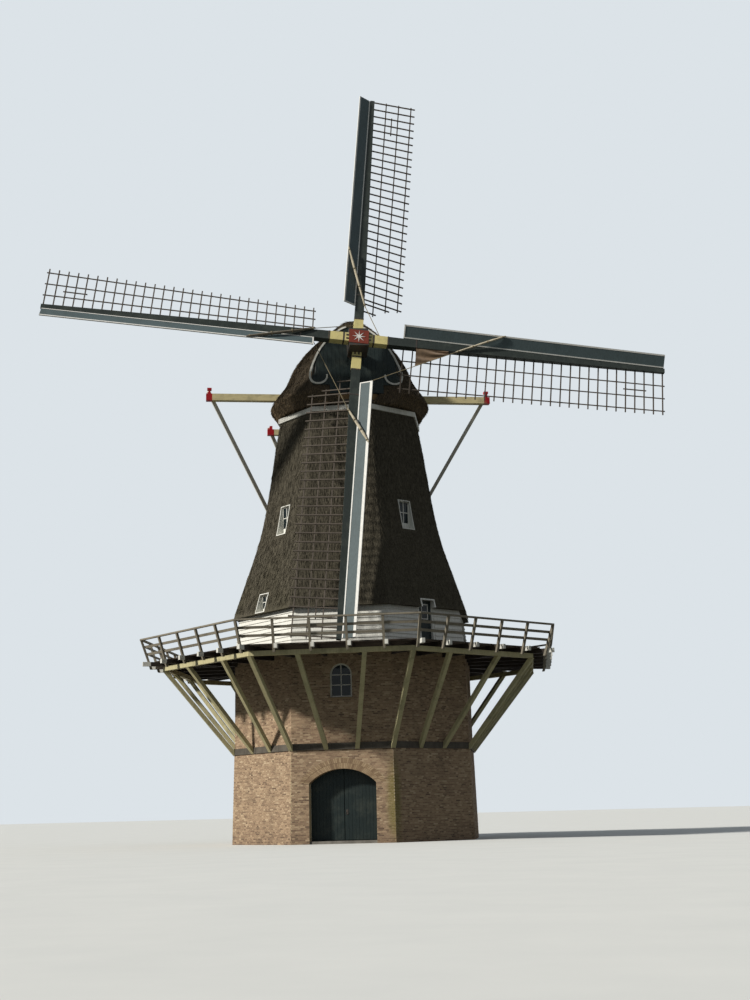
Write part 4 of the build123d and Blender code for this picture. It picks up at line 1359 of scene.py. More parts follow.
@dataclass
class Windows:
    """Glazing bars on every pane of the frame."""

    width: float = 0.032
    proud: float = 0.016
    sunk: float = 0.004
    base_top: float = 7.2
    arched_rows: tuple[float, ...] = (0.35, 0.68)
    smock_rows: tuple[float, ...] = (0.5,)

    def panes(self) -> list[PaneFace]:
        """Find the panes in the frame's glass.

        Returns:
            The outer face of each pane.
        """
        work = bmesh.new()
        work.from_mesh(frame["nodes"]["window_glass"].data)
        bmesh.ops.remove_doubles(work, verts=work.verts, dist=WELD)
        work.faces.index_update()
        seen, found = set(), []
        for seed in work.faces:
            if seed.index in seen:
                continue
            seen.add(seed.index)
            group, edge = [], [seed]
            while edge:
                face = edge.pop()
                group.append(face)
                for near in (f for e in face.edges for f in e.link_faces):
                    if near.index not in seen:
                        seen.add(near.index)
                        edge.append(near)
            middle = sum((f.calc_center_median() for f in group), Vector()) / len(group)
            outward = Vector((middle.x, middle.y, 0.0)).normalized()
            outer = [f for f in group if f.normal.dot(outward) > 0.7]
            normal = sum((f.normal * f.calc_area() for f in outer), Vector()).normalized()
            across = Vector((-normal.y, normal.x, 0.0)).normalized()
            up = normal.cross(across)
            up = up if up.z > 0 else -up
            points = tuple(v.co.copy() for f in outer for v in f.verts)
            found.append(PaneFace(middle, across, up, normal, points))
        work.free()
        return found

    def bar(self, shape: Shape, pane: PaneFace, across: Span, up: Span) -> None:
        """Add one bar.

        Args:
            shape: Collects the bars.
            pane: The pane.
            across: Where it starts and ends across the pane.
            up: Where it starts and ends up the pane.
        """
        face = pane.reach(pane.normal)[1]
        around = ((across[0], up[0]), (across[1], up[0]), (across[1], up[1]), (across[0], up[1]))
        offs = (face - self.sunk, face + self.proud)
        shape.block([pane.at(u, v, off) for off in offs for u, v in around])

    def bars(self) -> Shape:
        """One upright bar and one or two level bars on each pane.

        Returns:
            The bars.
        """
        shape = Shape()
        for pane in self.panes():
            left, right = pane.reach(pane.across)
            low, high = pane.reach(pane.up)
            arched = pane.middle.z < self.base_top
            centre = (left + right) / 2
            spring = high - (right - left) / 2
            upright = (centre - self.width / 2, centre + self.width / 2)
            self.bar(shape, pane, upright, (low, high))
            for share in self.arched_rows if arched else self.smock_rows:
                at = low + (high - low) * share
                half = (right - left) / 2
                if arched and at > spring:
                    half = math.sqrt(max(0.0, half**2 - (at - spring) ** 2))
                level = (at - self.width / 2, at + self.width / 2)
                self.bar(shape, pane, (centre - half, centre + half), level)
        return shape

    def build(self, looks: Finishes) -> None:
        """Make the piece."""
        self.bars().make("glazing_bars", Body.TOWER, looks["white_paint"], "white_paint")


@dataclass
class StageBoards:
    """Deck boards of the gallery, mitred over the corners."""

    inner: float = 4.675
    outer: float = 7.668
    low: float = 7.212
    top: float = 7.26
    board: float = 0.188
    gap: float = 0.003
    butt: float = 0.001
    cuts: float = 0.8
    sink: float = 0.004
    rng: random.Random = field(default_factory=lambda: random.Random(3))

    def deck(self) -> Shape:
        """Boards that run along each side, each in two lengths.

        Returns:
            The boards.
        """
        shape = Shape()
        count = round((self.outer - self.inner) / self.board)
        width = (self.outer - self.inner) / count
        slope = math.tan(HALF_ANGLE)
        for side in Side:
            place = side.place()
            for index in range(count):
                near = self.inner + index * width + self.gap
                far = self.inner + (index + 1) * width - self.gap
                cut = self.rng.uniform(-self.cuts, self.cuts)
                drop = self.rng.uniform(0.0, self.sink)
                for low, high in ((-1.0, cut - self.butt), (cut + self.butt, 1.0)):
                    corners = []
                    for z in (self.low, self.top - drop):
                        for share, y in ((low, far), (high, far), (high, near), (low, near)):
                            inset = self.gap if abs(share) == 1.0 else 0.0
                            corners.append(place @ Vector((share * (y * slope - inset), -y, z)))
                    shape.block(corners, self.rng.random())
        return shape

    def build(self, looks: Finishes) -> None:
        """Make the piece."""
        self.deck().make("deck_boards", Body.TOWER, looks["dark_wood"], "dark_wood", ["stage_deck"])


@dataclass
class Smock:
    """Weatherboards of the skirt, loose reeds of the thatch, and the boards of the stage door."""

    foot: float = 7.265
    top: float = 8.99
    foot_out: float = 4.675
    top_out: float = 4.490
    lap: float = 0.158
    overlap: float = 0.012
    lap_proud: Span = (0.042, 0.006)
    sunk: float = 0.02
    door: Span = (-0.345, 0.445)
    door_height: Span = (7.30, 9.20)
    door_board: Triple = (-0.245, 0.118, 0.112)
    door_count: int = 5
    door_window: tuple[float, float, float, float] = (-0.15, 0.20, 8.53, 9.14)
    window_frame: float = 0.035
    reed_foot: float = 9.3
    reeds: ReedSize = ReedSize(260.0, 0.26, 0.009, 0.05, 11)

    def face(self, height: float) -> float:
        """Distance of the skirt's face from the middle at a height."""
        inward = (self.top_out - self.foot_out) * (height - self.foot) / (self.top - self.foot)
        return self.foot_out + inward

    def weatherboards(self) -> Shape:
        """Lapped boards on the white skirt, cut at the stage door.

        Returns:
            The boards.
        """
        shape = Shape()
        count = round((self.top - self.foot) / self.lap)
        step = (self.top - self.foot) / count
        slope = math.tan(HALF_ANGLE)
        whole, beside_door = [(None, None)], [(None, self.door[0]), (self.door[1], None)]
        for side in Side:
            place = side.place()
            for index in range(count):
                low = self.foot + index * step
                high = min(self.foot + (index + 1) * step + self.overlap, self.top)
                for start, end in beside_door if side is Side.RIGHT_FRONT else whole:
                    corners = []
                    for z, out in zip((low, high), self.lap_proud):
                        plane = self.face(z)
                        front = plane + out
                        for y, half in ((front, front * slope), (plane - self.sunk, plane * slope)):
                            a = -half if start is None else start
                            b = half if end is None else end
                            line = [place @ Vector((a, -y, z)), place @ Vector((b, -y, z))]
                            corners.extend(line if y > plane else line[::-1])
                    shape.block(corners)
        return shape

    def door_strip(self, probe: Probe, shape: Shape, across: Span, up: Span, proud: float) -> None:
        """Add one flat strip to the stage door, on the door's own surface.

        Args:
            probe: Finds the door.
            shape: Collects the strips.
            across: Where the strip starts and ends along the side.
            up: Where it starts and ends in height.
            proud: How far it stands out from the door.
        """
        (a, b), (low, high) = across, up
        outs = [probe.depth((a + b) / 2, z) for z in (low + 0.01, high - 0.01)]
        if None in outs:
            return
        corners = []
        for z, out in zip((low, high), outs):
            for x, y in ((a, -out - proud), (b, -out - proud), (b, -out + 0.01), (a, -out + 0.01)):
                corners.append(probe.place @ Vector((x, y, z)))
        shape.block(corners)

    def door_boards(self) -> tuple[Shape, Shape, Shape]:
        """Upright boards of the stage door, its small window's frame and its panes.

        Returns:
            The boards, the window's bars and its panes.
        """
        boards, bars, panes = Shape(), Shape(), Shape()
        probe = Probe(caster("stage_door"), Side.RIGHT_FRONT.place())
        left, right, low, high = self.door_window
        foot, head = self.door_height
        start, pitch, width = self.door_board
        for index in range(self.door_count):
            a = start + index * pitch
            under_window = left < a + width / 2 + 0.001 < right
            top = low - 0.02 if under_window else head
            self.door_strip(probe, boards, (a, a + width), (foot, top), 0.014)
        self.door_strip(probe, panes, (left + 0.02, right - 0.02), (low + 0.02, high - 0.02), 0.006)
        edge, middle = self.window_frame, (low + high) / 2
        for across, up, proud in (
            ((left, left + edge), (low, high), 0.022),
            ((right - edge, right), (low, high), 0.022),
            ((left, right), (low, low + edge), 0.024),
            ((left, right), (high - edge, high), 0.024),
            ((left, right), (middle - 0.014, middle + 0.014), 0.018),
        ):
            self.door_strip(probe, bars, across, up, proud)
        return boards, bars, panes

    def build(self, reeds: Reeds, looks: Finishes) -> None:
        """Make the pieces.

        Args:
            reeds: The tree that scatters reeds.
            looks: Finishes by name.
        """
        self.weatherboards().make("weatherboards", Body.TOWER, looks["white_paint"], "white_paint")
        boards, bars, panes = self.door_boards()
        boards.make("stage_door_boards", Body.TOWER, looks["green_paint"], "green_paint")
        bars.make("stage_door_bars", Body.TOWER, looks["white_paint"], "white_paint")
        panes.make("stage_door_panes", Body.TOWER, looks["glass"], "glass")
        surface = open_faces(
            "smock_thatch", lambda at, n: n.x * at.x + n.y * at.y > 1.0 and at.z > self.reed_foot
        )
        reeds.cover("smock_reeds", surface, self.reeds, Body.TOWER, looks["thatch"])


@dataclass
class Cap:
    """Reeds, front boards and beam ends of the cap."""

    board: float = 0.165
    gap: float = 0.004
    low: float = 18.5
    row: float = 0.06
    outline: tuple[Span, ...] = (
        (18.4, 1.84), (19.25, 1.84), (19.70, 1.67), (20.20, 1.42), (20.56, 1.15), (20.93, 0.79),
        (21.24, 0.30),
    )
    front_proud: float = 0.03
    front_sunk: float = 0.01
    long_beam: Triple = (6.19, 0.29, 18.54)
    short_beam: Triple = (3.40, 0.25, 17.8603)
    short_back: float = 3.05
    skin: float = 0.004
    lip_top: float = 18.35
    reeds: ReedSize = ReedSize(420.0, 0.24, 0.010, 0.03, 5)
    lip_reeds: ReedSize = ReedSize(500.0, 0.10, 0.012, 0.10, 6)

    def place(self) -> Matrix:
        """The cap's own axes at rest."""
        return Matrix.Rotation(math.radians(CAP_TURN), 4, "Z")

    def half_width(self, z: float) -> float:
        """Half width of the boarded front at a height.

        Args:
            z: The height.

        Returns:
            The half width, or 0 above and below the front.
        """
        for (z0, w0), (z1, w1) in zip(self.outline, self.outline[1:]):
            if z0 <= z <= z1:
                return w0 + (w1 - w0) * (z - z0) / (z1 - z0)
        return 0.0

    def row_ends(self, probe: Probe, left: float, right: float, height: float) -> tuple[Span, Span] | None:
        """Both edges of one board at a height, cut to the front's outline.

        Args:
            probe: Finds the cap's front and thatch.
            left: The board's left edge.
            right: Its right edge.
            height: The height.

        Returns:
            Place across and distance out for each edge, or None where no board lies.
        """
        reach = self.half_width(height)
        left, right = max(left, -reach), min(right, reach)
        if right - left <= 0.03:
            return None
        outs = probe.depth(left, height), probe.depth(right, height)
        if None in outs or abs(outs[0] - outs[1]) >= 0.22:
            return None
        return (left, outs[0]), (right, outs[1])

    def front_boards(self) -> Shape:
        """Upright boards over the cap's front, from trim to trim.

        Returns:
            The boards.
        """
        shape = Shape()
        probe = Probe(caster("cap_front", "cap_thatch"), self.place(), 5.0, 4.6)
        top = self.outline[-1][0]
        widest = max(w for _, w in self.outline)
        count = round(2 * widest / self.board)
        width = 2 * widest / count
        levels = [self.low + i * self.row for i in range(int((top - self.low) / self.row) + 1)]
        for index in range(count):
            left = -widest + index * width + self.gap
            right = -widest + (index + 1) * width - self.gap
            last = None
            for z in levels:
                now = self.row_ends(probe, left, right, z)
                if now and last and max(abs(p[1] - q[1]) for p, q in zip(now, last[1])) < 0.2:
                    corners = []
                    out, sunk = self.front_proud, self.front_sunk
                    for height, ((x0, y0), (x1, y1)) in (last, (z, now)):
                        corners += [(x0, -y0 - out, height), (x1, -y1 - out, height)]
                        corners += [(x1, -y1 + sunk, height), (x0, -y0 + sunk, height)]
                    shape.block([probe.place @ Vector(c) for c in corners])
                last = (z, now) if now else None
        return shape

    def beam_ends(self) -> Shape:
        """Red ends of the short crossbeam, and the painted heads over the long one.

        Returns:
            The ends.
        """
        shape = Shape()
        place = self.place()
        long_x, long_s, long_z = self.long_beam
        short_x, short_s, short_z = self.short_beam
        back, half = self.short_back, short_s / 2 + self.skin
        for hand in (-1, 1):
            left, right = sorted((hand * (short_x - 0.28), hand * (short_x + self.skin)))
            low, high = short_z - self.skin, short_z + short_s + self.skin
            shape.box((left, back - half, low), (right, back + half, high), place)
            shape.box((left + 0.1, back - 0.1, high), (right - 0.06, back + 0.1, high + 0.16), place)
            left, right = sorted((hand * (long_x - 0.19), hand * (long_x - 0.10)))
            high = long_z + long_s
            shape.box((left, -0.08, high - 0.01), (right, 0.08, high + 0.20), place)
            shape.box((left - 0.05, -0.10, high + 0.18), (right + 0.05, 0.10, high + 0.27), place)
        return shape

    def bare(self, at: Vector) -> bool:
        """True where the boarded front covers the thatch."""
        own = self.place().inverted() @ at
        return own.y < -0.8 and abs(own.x) < self.half_width(own.z) + 0.10

    def build(self, reeds: Reeds, looks: Finishes) -> None:
        """Make the pieces.

        Args:
            reeds: The tree that scatters reeds.
            looks: Finishes by name.
        """
        self.front_boards().make("cap_front_boards", Body.CAP, looks["green_paint"], "green_paint")
        self.beam_ends().make("beam_ends", Body.CAP, looks["red_paint"], "cream_paint")
        upper = open_faces(
            "cap_thatch", lambda at, n: n.z > -0.35 and at.z > self.lip_top and not self.bare(at)
        )
        reeds.cover("cap_reeds", upper, self.reeds, Body.CAP, looks["cap_thatch"])
        lower = open_faces("cap_thatch", lambda at, n: n.z < 0.5 and at.z <= self.lip_top)
        reeds.cover("cap_lip_reeds", lower, self.lip_reeds, Body.CAP, looks["cap_lip"])


@dataclass(frozen=True)
class Furl:
    """How one sail's canvas is furled; distances are measured out from the hub."""

    name: str
    angle: float
    inner: bool
    tip: float
    heel: float
    rope_end: float
    roll: float
    seed: int
    look: str = "canvas"


def net(rows: int, columns: int) -> list[tuple[int, ...]]:
    """Faces of a net of points that are listed row by row.

    Args:
        rows: Number of faces one way.
        columns: Number of faces the other way.

    Returns:
        The faces.
    """
    faces = []
    for row in range(rows):
        for column in range(columns):
            a = row * (columns + 1) + column
            faces.append((a, a + 1, a + columns + 2, a + columns + 1))
    return faces


@dataclass
class Sails:
    """Hub plate, stock irons, board edges and battens, furled canvas and its ropes."""

    turn: float = 5.71
    setback: float = 0.48
    tip: float = 12.93
    stock_root: Span = (0.40, 0.35)
    stock_tip: Span = (0.19, 0.15)
    board_lean: float = 29.0
    board_width: float = 0.64
    board_root: Span = (0.04, 0.06)
    board_ends: Span = (1.844, 12.874)
    edge: float = 0.06
    bottom_edge: float = 0.11
    batten_start: float = 2.3
    batten_pitch: float = 1.13
    batten_count: int = 10
    plate: tuple[float, float, float, float] = (0.405, 0.31, 0.236, 0.268)
    star: Span = (0.28, 0.065)
    star_thick: float = 0.014
    bands: tuple[float, ...] = (0.62, 1.22, 2.4)
    band_half: float = 0.03
    wedge: tuple[float, float, float, float] = (0.39, 0.52, 0.10, 0.19)
    canvas_net: tuple[int, int] = (90, 34)
    canvas_turns: float = 1.7
    corner_net: tuple[int, int] = (24, 14)
    corner_end: float = 2.75
    strand: Span = (0.008, 0.0095)
    cord: float = 0.006
    lashings: tuple[float, ...] = (0.02, 0.35, 0.66, 0.98)
    furls: tuple[Furl, ...] = (
        Furl("top", 0.0, True, 4.5, 1.85, 1.0, 0.036, 3),
        Furl("bottom", 180.0, True, 4.6, 3.16, 2.0, 0.044, 6),
        # The left sail's canvas wears a darker copy of the canvas finish: partly painted shade, partly
        # dirt.
        Furl("left", 90.0, False, 4.5, 1.85, 1.0, 0.050, 4, "shade_and_dirt_canvas"),
        Furl("right", 270.0, False, 6.0, 4.1, 1.96, 0.026, 5),
    )

    def shaft(self) -> Matrix:
        """The windshaft's own axes at rest, with the axis as Z.

        Returns:
            Their matrix.
        """
        joint = next(j for j in frame["joints"] if j["name"] == "windshaft_turn")
        axis = Vector(joint["axis"]).normalized()
        across = Vector((0.0, 0.0, 1.0)).cross(axis).normalized()
        place = Matrix((across, axis.cross(across), axis)).transposed().to_4x4()
        place.translation = Vector(joint["pos_m"])
        return place

    def sail(self, angle: float, setback: float) -> Matrix:
        """A sail's own axes: Y out along it, X to its lattice, Z towards the wind."""
        turned = Matrix.Rotation(math.radians(angle - self.turn), 4, "Z")
        return self.shaft() @ turned @ Matrix.Translation((0.0, 0.0, -setback))

    def place(self, furl: Furl) -> Matrix:
        """The axes of the sail that a canvas belongs to."""
        return self.sail(furl.angle, self.setback if furl.inner else 0.0)

    def rope_end(self, furl: Furl) -> Vector:
        """Where a canvas's rope is tied to the next stock."""
        return Vector((furl.rope_end, 0.0, self.setback if furl.inner else -self.setback))

    def stock_size(self, r: float) -> Span:
        """Width and depth of a stock.

        Args:
            r: Distance from the hub.

        Returns:
            Both sizes.
        """
        share = r / self.tip
        width, depth = (a + (b - a) * share for a, b in zip(self.stock_root, self.stock_tip))
        return width, depth

    def board_lines(self, r: float) -> tuple[Vector, Vector, Vector]:
        """Where a leading board lies.

        Args:
            r: Distance from the hub.

        Returns:
            The board's root, and its directions along and square to its face.
        """
        lean = math.radians(self.board_lean)
        width, depth = self.stock_size(r)
        root = Vector((self.board_root[0] - width / 2, r, depth / 2 - self.board_root[1]))
        along = Vector((-math.cos(lean), 0.0, math.sin(lean)))
        return root, along, Vector((math.sin(lean), 0.0, math.cos(lean)))

    def board_bar(self, shape: Shape, place: Matrix, ends: Span, across: Span, over: Span) -> None:
        """Add a bar that lies on a leading board.

        Args:
            shape: Collects the bars.
            place: The sail's axes.
            ends: Its start and end, from the hub.
            across: Its edges, from the board's root.
            over: Its back and front, from the board's middle plane.
        """
        section = ((across[0], over[0]), (across[1], over[0]), (across[1], over[1]), (across[0], over[1]))
        corners = []
        for r in ends:
            root, along, off = self.board_lines(r)
            corners += [place @ (root + along * a + off * b) for a, b in section]
        shape.block(corners)

    def board_edges(self) -> Shape:
        """White strips along both long edges and the heel of each leading board.

        Returns:
            The strips.
        """
        shape = Shape()
        start, end = self.board_ends
        width = self.board_width
        for furl in self.furls:
            place = self.place(furl)
            edge = self.bottom_edge if furl.name == "bottom" else self.edge
            self.board_bar(shape, place, (start, end), (width - edge, width + 0.004), (-0.006, 0.038))
            self.board_bar(shape, place, (start, end), (0.085, 0.130), (0.028, 0.044))
            self.board_bar(shape, place, (start, start + 0.05), (0.10, width), (-0.010, 0.042))
        return shape

    def board_battens(self) -> Shape:
        """Cross battens behind the leading boards.

        Returns:
            The battens.
        """
        shape = Shape()
        for furl in self.furls:
            for index in range(self.batten_count):
                centre = self.batten_start + index * self.batten_pitch
                ends = (centre - 0.035, centre + 0.035)
                self.board_bar(shape, self.place(furl), ends, (0.12, 0.58), (-0.028, 0.004))
        return shape

    def hub_plate(self) -> tuple[Shape, Shape]:
        """Painted plate on the poll end, and the star on it.

        Returns:
            The plate and the star.
        """
        plate, star = Shape(), Shape()
        place = self.sail(0.0, 0.0)
        x, y, low, high = self.plate
        plate.box((-x, -y, low), (x, y, high), place)
        outline = []
        for step in range(16):
            radius = self.star[step % 2]
            angle = math.pi * step / 8
            across, up = radius * math.sin(angle), radius * math.cos(angle)
            outline.append(place @ Vector((across, up, high - 0.002)))
        star.prism(outline, place.to_3x3() @ Vector((0.0, 0.0, self.star_thick)))
        return plate, star

    def stock_irons(self) -> Shape:
        """Iron bands round both stocks, and the wedges in the poll end.

        Returns:
            Both.
        """
        shape = Shape()
        half = self.band_half
        start, end, low, high = self.wedge
        for furl in self.furls:
            place = self.place(furl)
            for r in self.bands:
                width, depth = self.stock_size(r)
                a, b = width / 2 + 0.008, depth / 2 + 0.008
                c, d = width / 2 - 0.002, depth / 2 - 0.002
                for x0, z0, x1, z1 in ((-a, -b, a, -d), (-a, d, a, b), (-a, -b, -c, b), (c, -b, a, b)):
                    shape.box((x0, r - half, z0), (x1, r + half, z1), place)
            for x in (-0.08, 0.08):
                shape.box((x - 0.03, start, low), (x + 0.03, end, high), place)
        return shape

    def furl_line(self, furl: Furl) -> tuple[Vector, Vector]:
        """Line of a furled canvas.

        Args:
            furl: The canvas.

        Returns:
            Where it starts on the leading board and where it ends at the stock.
        """
        root, along, off = self.board_lines(furl.tip)
        tip = root + along * 0.61 + off * 0.067
        width, depth = self.stock_size(furl.heel)
        return tip, Vector((width / 2 + 0.026, furl.heel, depth / 2 + 0.026))

    def cloth(
        self, name: str, points: list[Vector], size: tuple[int, int], look: Material
    ) -> Piece:
        """Make a smooth sheet of cloth from a net of points.

        Args:
            name: Name of the piece.
            points: The points, row by row.
            size: Number of faces along and across.
            look: Its finish.

        Returns:
            The piece.
        """
        shape = Shape()
        shape.add(points, net(*size))
        replaced = ["furled_sails"] if name == "canvas_top" else []
        piece = shape.make(name, Body.SAILS, look, "canvas", replaced)
        for polygon in piece.data.polygons:
            polygon.use_smooth = True
        return piece

    def canvas(self, furl: Furl, look: Material) -> None:
        """One canvas, rolled up and twisted from the leading board across the stock.

        Args:
            furl: Its size and place.
            look: Finish of the cloth.
        """
        tip, heel = self.furl_line(furl)
        ahead = (heel - tip).normalized()
        ring = Ring.about(ahead)
        start, end = tip - ahead * 0.085, heel + ahead * 0.085
        length = (end - start).length
        rows, columns = self.canvas_net
        rng = random.Random(furl.seed)
        points = []
        for row in range(rows + 1):
            share = row / rows
            centre = start.lerp(end, share)
            full = 0.026 + furl.roll * math.sin(math.pi * share) ** 0.55
            full *= 1.0 + 0.06 * math.sin(share * 31.0) + 0.03 * rng.uniform(-1, 1)
            twist = share * length * 2.3
            for step in range(columns + 1):
                part = step / columns
                angle = twist + part * self.canvas_turns * 2 * math.pi
                fold = 1.0 + 0.10 * math.sin(7 * angle + row * 0.35) * part
                radius = full * (0.38 + 0.60 * part) * fold
                points.append(centre + ring.at(angle, radius))
        place = self.place(furl)
        piece = self.cloth(f"canvas_{furl.name}", [place @ p for p in points], (rows, columns), look)

    def loose_corner(self, look: Material) -> None:
        """A corner of the right sail's canvas that hangs between its stock and its rope.

        Args:
            look: Finish of the cloth.
        """
        furl = self.furls[3]
        place, heel, end = self.place(furl), self.furl_line(furl)[1], self.rope_end(furl)
        length = furl.heel - self.corner_end
        rows, columns = self.corner_net
        points = []
        for row in range(rows + 1):
            r = furl.heel - 0.35 - length * row / rows
            width, depth = self.stock_size(r)
            high = Vector((width / 2 + 0.014, r, depth / 2 - 0.03))
            low = heel.lerp(end, (heel.y - r) / heel.y)
            for column in range(columns + 1):
                share = column / columns
                sway = 0.05 * math.sin(share * 9.0 + row * 0.35) * math.sin(math.pi * share)
                points.append(place @ (high.lerp(low, share) + Vector((0.0, 0.0, sway))))
        piece = self.cloth("canvas_corner", points, (rows, columns), look)

    def ropes(self) -> Shape:
        """Three-strand ropes from each canvas to the next stock, and lashings round the canvas.

        Returns:
            The ropes.
        """
        shape = Shape()
        off, radius = self.strand
        for furl in self.furls:
            place, heel, end = self.place(furl), self.furl_line(furl)[1], self.rope_end(furl)
            ring = Ring.about((end - heel).normalized())
            count = max(24, int((end - heel).length / 0.03))
            for strand in range(3):
                path = []
                for row in range(count + 1):
                    angle = 2 * math.pi * (strand / 3 + row * 0.12)
                    path.append(place @ (heel.lerp(end, row / count) + ring.at(angle, off)))
                shape.tube(path, radius, 5)
            self.lash(shape, furl)
        return shape

    def lash(self, shape: Shape, furl: Furl) -> None:
        """Add the turns of cord round one canvas.

        Args:
            shape: Collects the cords.
            furl: The canvas.
        """
        place = self.place(furl)
        tip, heel = self.furl_line(furl)
        ahead = (heel - tip).normalized()
        ring = Ring.about(ahead)
        for share in self.lashings:
            centre = tip.lerp(heel, share)
            radius = 0.032 + furl.roll * math.sin(math.pi * (0.03 + share * 0.94)) ** 0.55
            path = []
            for row in range(37):
                along = ahead * (row / 36 - 0.5) * 0.05
                path.append(place @ (centre + along + ring.at(2 * math.pi * row / 12, radius)))
            shape.tube(path, self.cord, 5)

    def build(self, looks: Finishes) -> None:
        """Make the pieces.

        Args:
            looks: Finishes by name.
        """
        self.board_edges().make("board_edges", Body.SAILS, looks["white_edges"], "white_paint")
        self.board_battens().make("board_battens", Body.SAILS, looks["dark_wood"], "dark_wood")
        plate, star = self.hub_plate()
        plate.make("hub_plate", Body.SAILS, looks["hub_red"], "iron")
        star.make("hub_star", Body.SAILS, looks["white_edges"], "white_paint")
        self.stock_irons().make("stock_irons", Body.SAILS, looks["iron"], "iron")
        for furl in self.furls:
            self.canvas(furl, looks[furl.look])
        self.loose_corner(looks["brown_canvas"])
        self.ropes().make("sail_ropes", Body.SAILS, looks["rope"], "canvas")


@dataclass
class Looks:
    """All finishes, and the frame nodes that wear them."""

    beam_red: float = 5.93
    joist_white: float = 7.93
    curb_dark: float = 17.604
    stock_cream: Span = (0.40, 1.25)
    moss: Colour = srgb("4C4A38")
    finished: Finishes = field(default_factory=dict)
    worn_by: dict[str, tuple[str, ...]] = field(
        default_factory=lambda: {
            "green_paint": (
                "beard_board", "cap_front", "left_entrance_door", "right_entrance_door", "stage_door",
            ),
            "braces": ("braces", "tail_pole"),
            "plain_wood": ("cap_frame", "first_floor", "smock_floor", "stage_floor"),
            "cap_thatch": ("cap_thatch",),
            "thatch": ("smock_thatch",),
            "white_paint": ("cap_trims", "smock_skirt", "window_frames"),
            "beams": ("crossbeams",),
            "iron": ("door_pintles", "windshaft"),
            "arch_bricks": ("entrance_arch",),
            "floor_stone": ("ground_floor",),
            "lattice": ("inner_lattices", "outer_lattices"),
            "inner_stock": ("inner_stock",),
            "outer_stock": ("outer_stock",),
            "boards": ("leading_boards",),
            "posts": ("railing_posts", "railing_rails"),
            "smock_head": ("smock_head",),
            "deck_wood": ("stage_joists",),
            "cream_paint": ("stage_ring_beam", "stage_struts"),
            "dark_wood": ("tail_winch", "stage_deck"),
            "glass": ("window_glass",),
            "ledge": ("ledge_course",),
            "canvas": ("furled_sails",),
        }
    )

    def timbers(self) -> list[tuple[str, Timber]]:
        """Bare and painted wood.

        Returns:
            Name and finish of each.
        """
        turn = math.radians(CAP_TURN)
        cap_x = (math.cos(turn), math.sin(turn), 0.0)
        red_ends = Band(BARN_RED, self.beam_red, direction=cap_x, both_ways=True)
        joist_ends = Band(WHITE, self.joist_white, measure=Measure.AROUND)
        curb = Band(srgb("3B332B"), self.curb_dark)
        return [
            ("white_paint", Timber("white paint", WHITE, srgb("B9B7AB"), 0.14, 0.5)),
            ("white_edges", Timber("white edges", srgb("DEDEDA"), srgb("B8B6AC"), 0.15, 0.5)),
            ("green_paint", Timber("green paint", MILL_GREEN, srgb("4A4F49"), 0.4, 0.5)),
            ("cream_paint", Timber("cream paint", srgb("B9B28C"), srgb("6E6B56"), 0.55, 0.6)),
            ("braces", Timber("grey braces", srgb("DEDCD3"), srgb("A19D91"), 0.3, 0.65)),
            ("beams", Timber("cream beams", CREAM, srgb("7A7660"), 0.6, 0.6, GRAIN_X, (0.0, 0.0, -turn),
                             bands=(red_ends,))),
            ("dark_wood", Timber("dark wood", srgb("3A332D"), srgb("6A6459"), 0.4, 0.7)),
            ("deck_wood", Timber("joists", srgb("2E2824"), srgb("57503F"), 0.3, 0.7, bands=(joist_ends,))),
            ("lattice", Timber("lattice", GREY_BROWN, srgb("3F3B34"), 0.45, 0.7)),
            ("posts", Timber("railing", srgb("7E786B"), srgb("4F4A40"), 0.5, 0.7)),
            ("plain_wood", Timber("plain wood", srgb("8C7250"), srgb("5E4C36"), 0.3, 0.7)),
            ("boards", Timber("sail boards", BOARD_BLUE, srgb("434C4C"), 0.4, 0.55)),
            ("smock_head", Timber("smock head", WHITE, srgb("A9A79A"), 0.25, 0.5, bands=(curb,))),
            ("red_paint", Timber("red paint", BARN_RED, srgb("6A2024"), 0.3, 0.5)),
            ("hub_red", Timber("hub red", srgb("7A3B30"), srgb("4A2A24"), 0.3, 0.5)),
        ]

    def coverings(self) -> list[tuple[str, Thatch | Brickwork | Stone | Pane | Metal | Cloth]]:
        """Thatch, bricks, stone, glass, iron and cloth.

        Returns:
            Name and finish of each.
        """
        red_bricks = (srgb("6E5B4E"), srgb("927A66"), srgb("B0977D"), srgb("C8B397"))
        arch_bricks = (srgb("86705A"), srgb("A08A6E"), srgb("B8A284"))
        return [
            ("cap_lip", Thatch("cut reed ends", srgb("2E271F"), srgb("80705A"), self.moss, 0.05)),
            ("thatch", Thatch("smock thatch", srgb("282520"), srgb("625D50"), self.moss, 0.25)),
            ("cap_thatch", Thatch("cap thatch", srgb("29241E"), srgb("625849"), self.moss, 0.1)),
            ("bricks", Brickwork("bricks", red_bricks)),
            ("arch_bricks", Brickwork("arch bricks", arch_bricks)),
            ("ledge", Stone("ledge", srgb("57524A"))),
            ("floor_stone", Stone("floor stone", srgb("85817A"))),
            # The glass's dark colour is painted shade of the unlit rooms behind the windows and the stage
            # door.
            ("glass", Pane("glass", srgb("20282B"))),
            ("iron", Metal("iron", srgb("35332F"), srgb("5C3A26"))),
            ("canvas", Cloth("canvas", srgb("C2B9A2"), srgb("7A6F5C"))),
            # Darker copy of the canvas for the left sail: partly painted shade, partly dirt.
            ("shade_and_dirt_canvas", Cloth("shade and dirt canvas", srgb("6A6355"), srgb("453F35"))),
            ("brown_canvas", Cloth("brown canvas", srgb("7C6650"), srgb("4F4234"))),
            ("rope", Cloth("rope", srgb("8F8468"), srgb("5E5644"))),
        ]

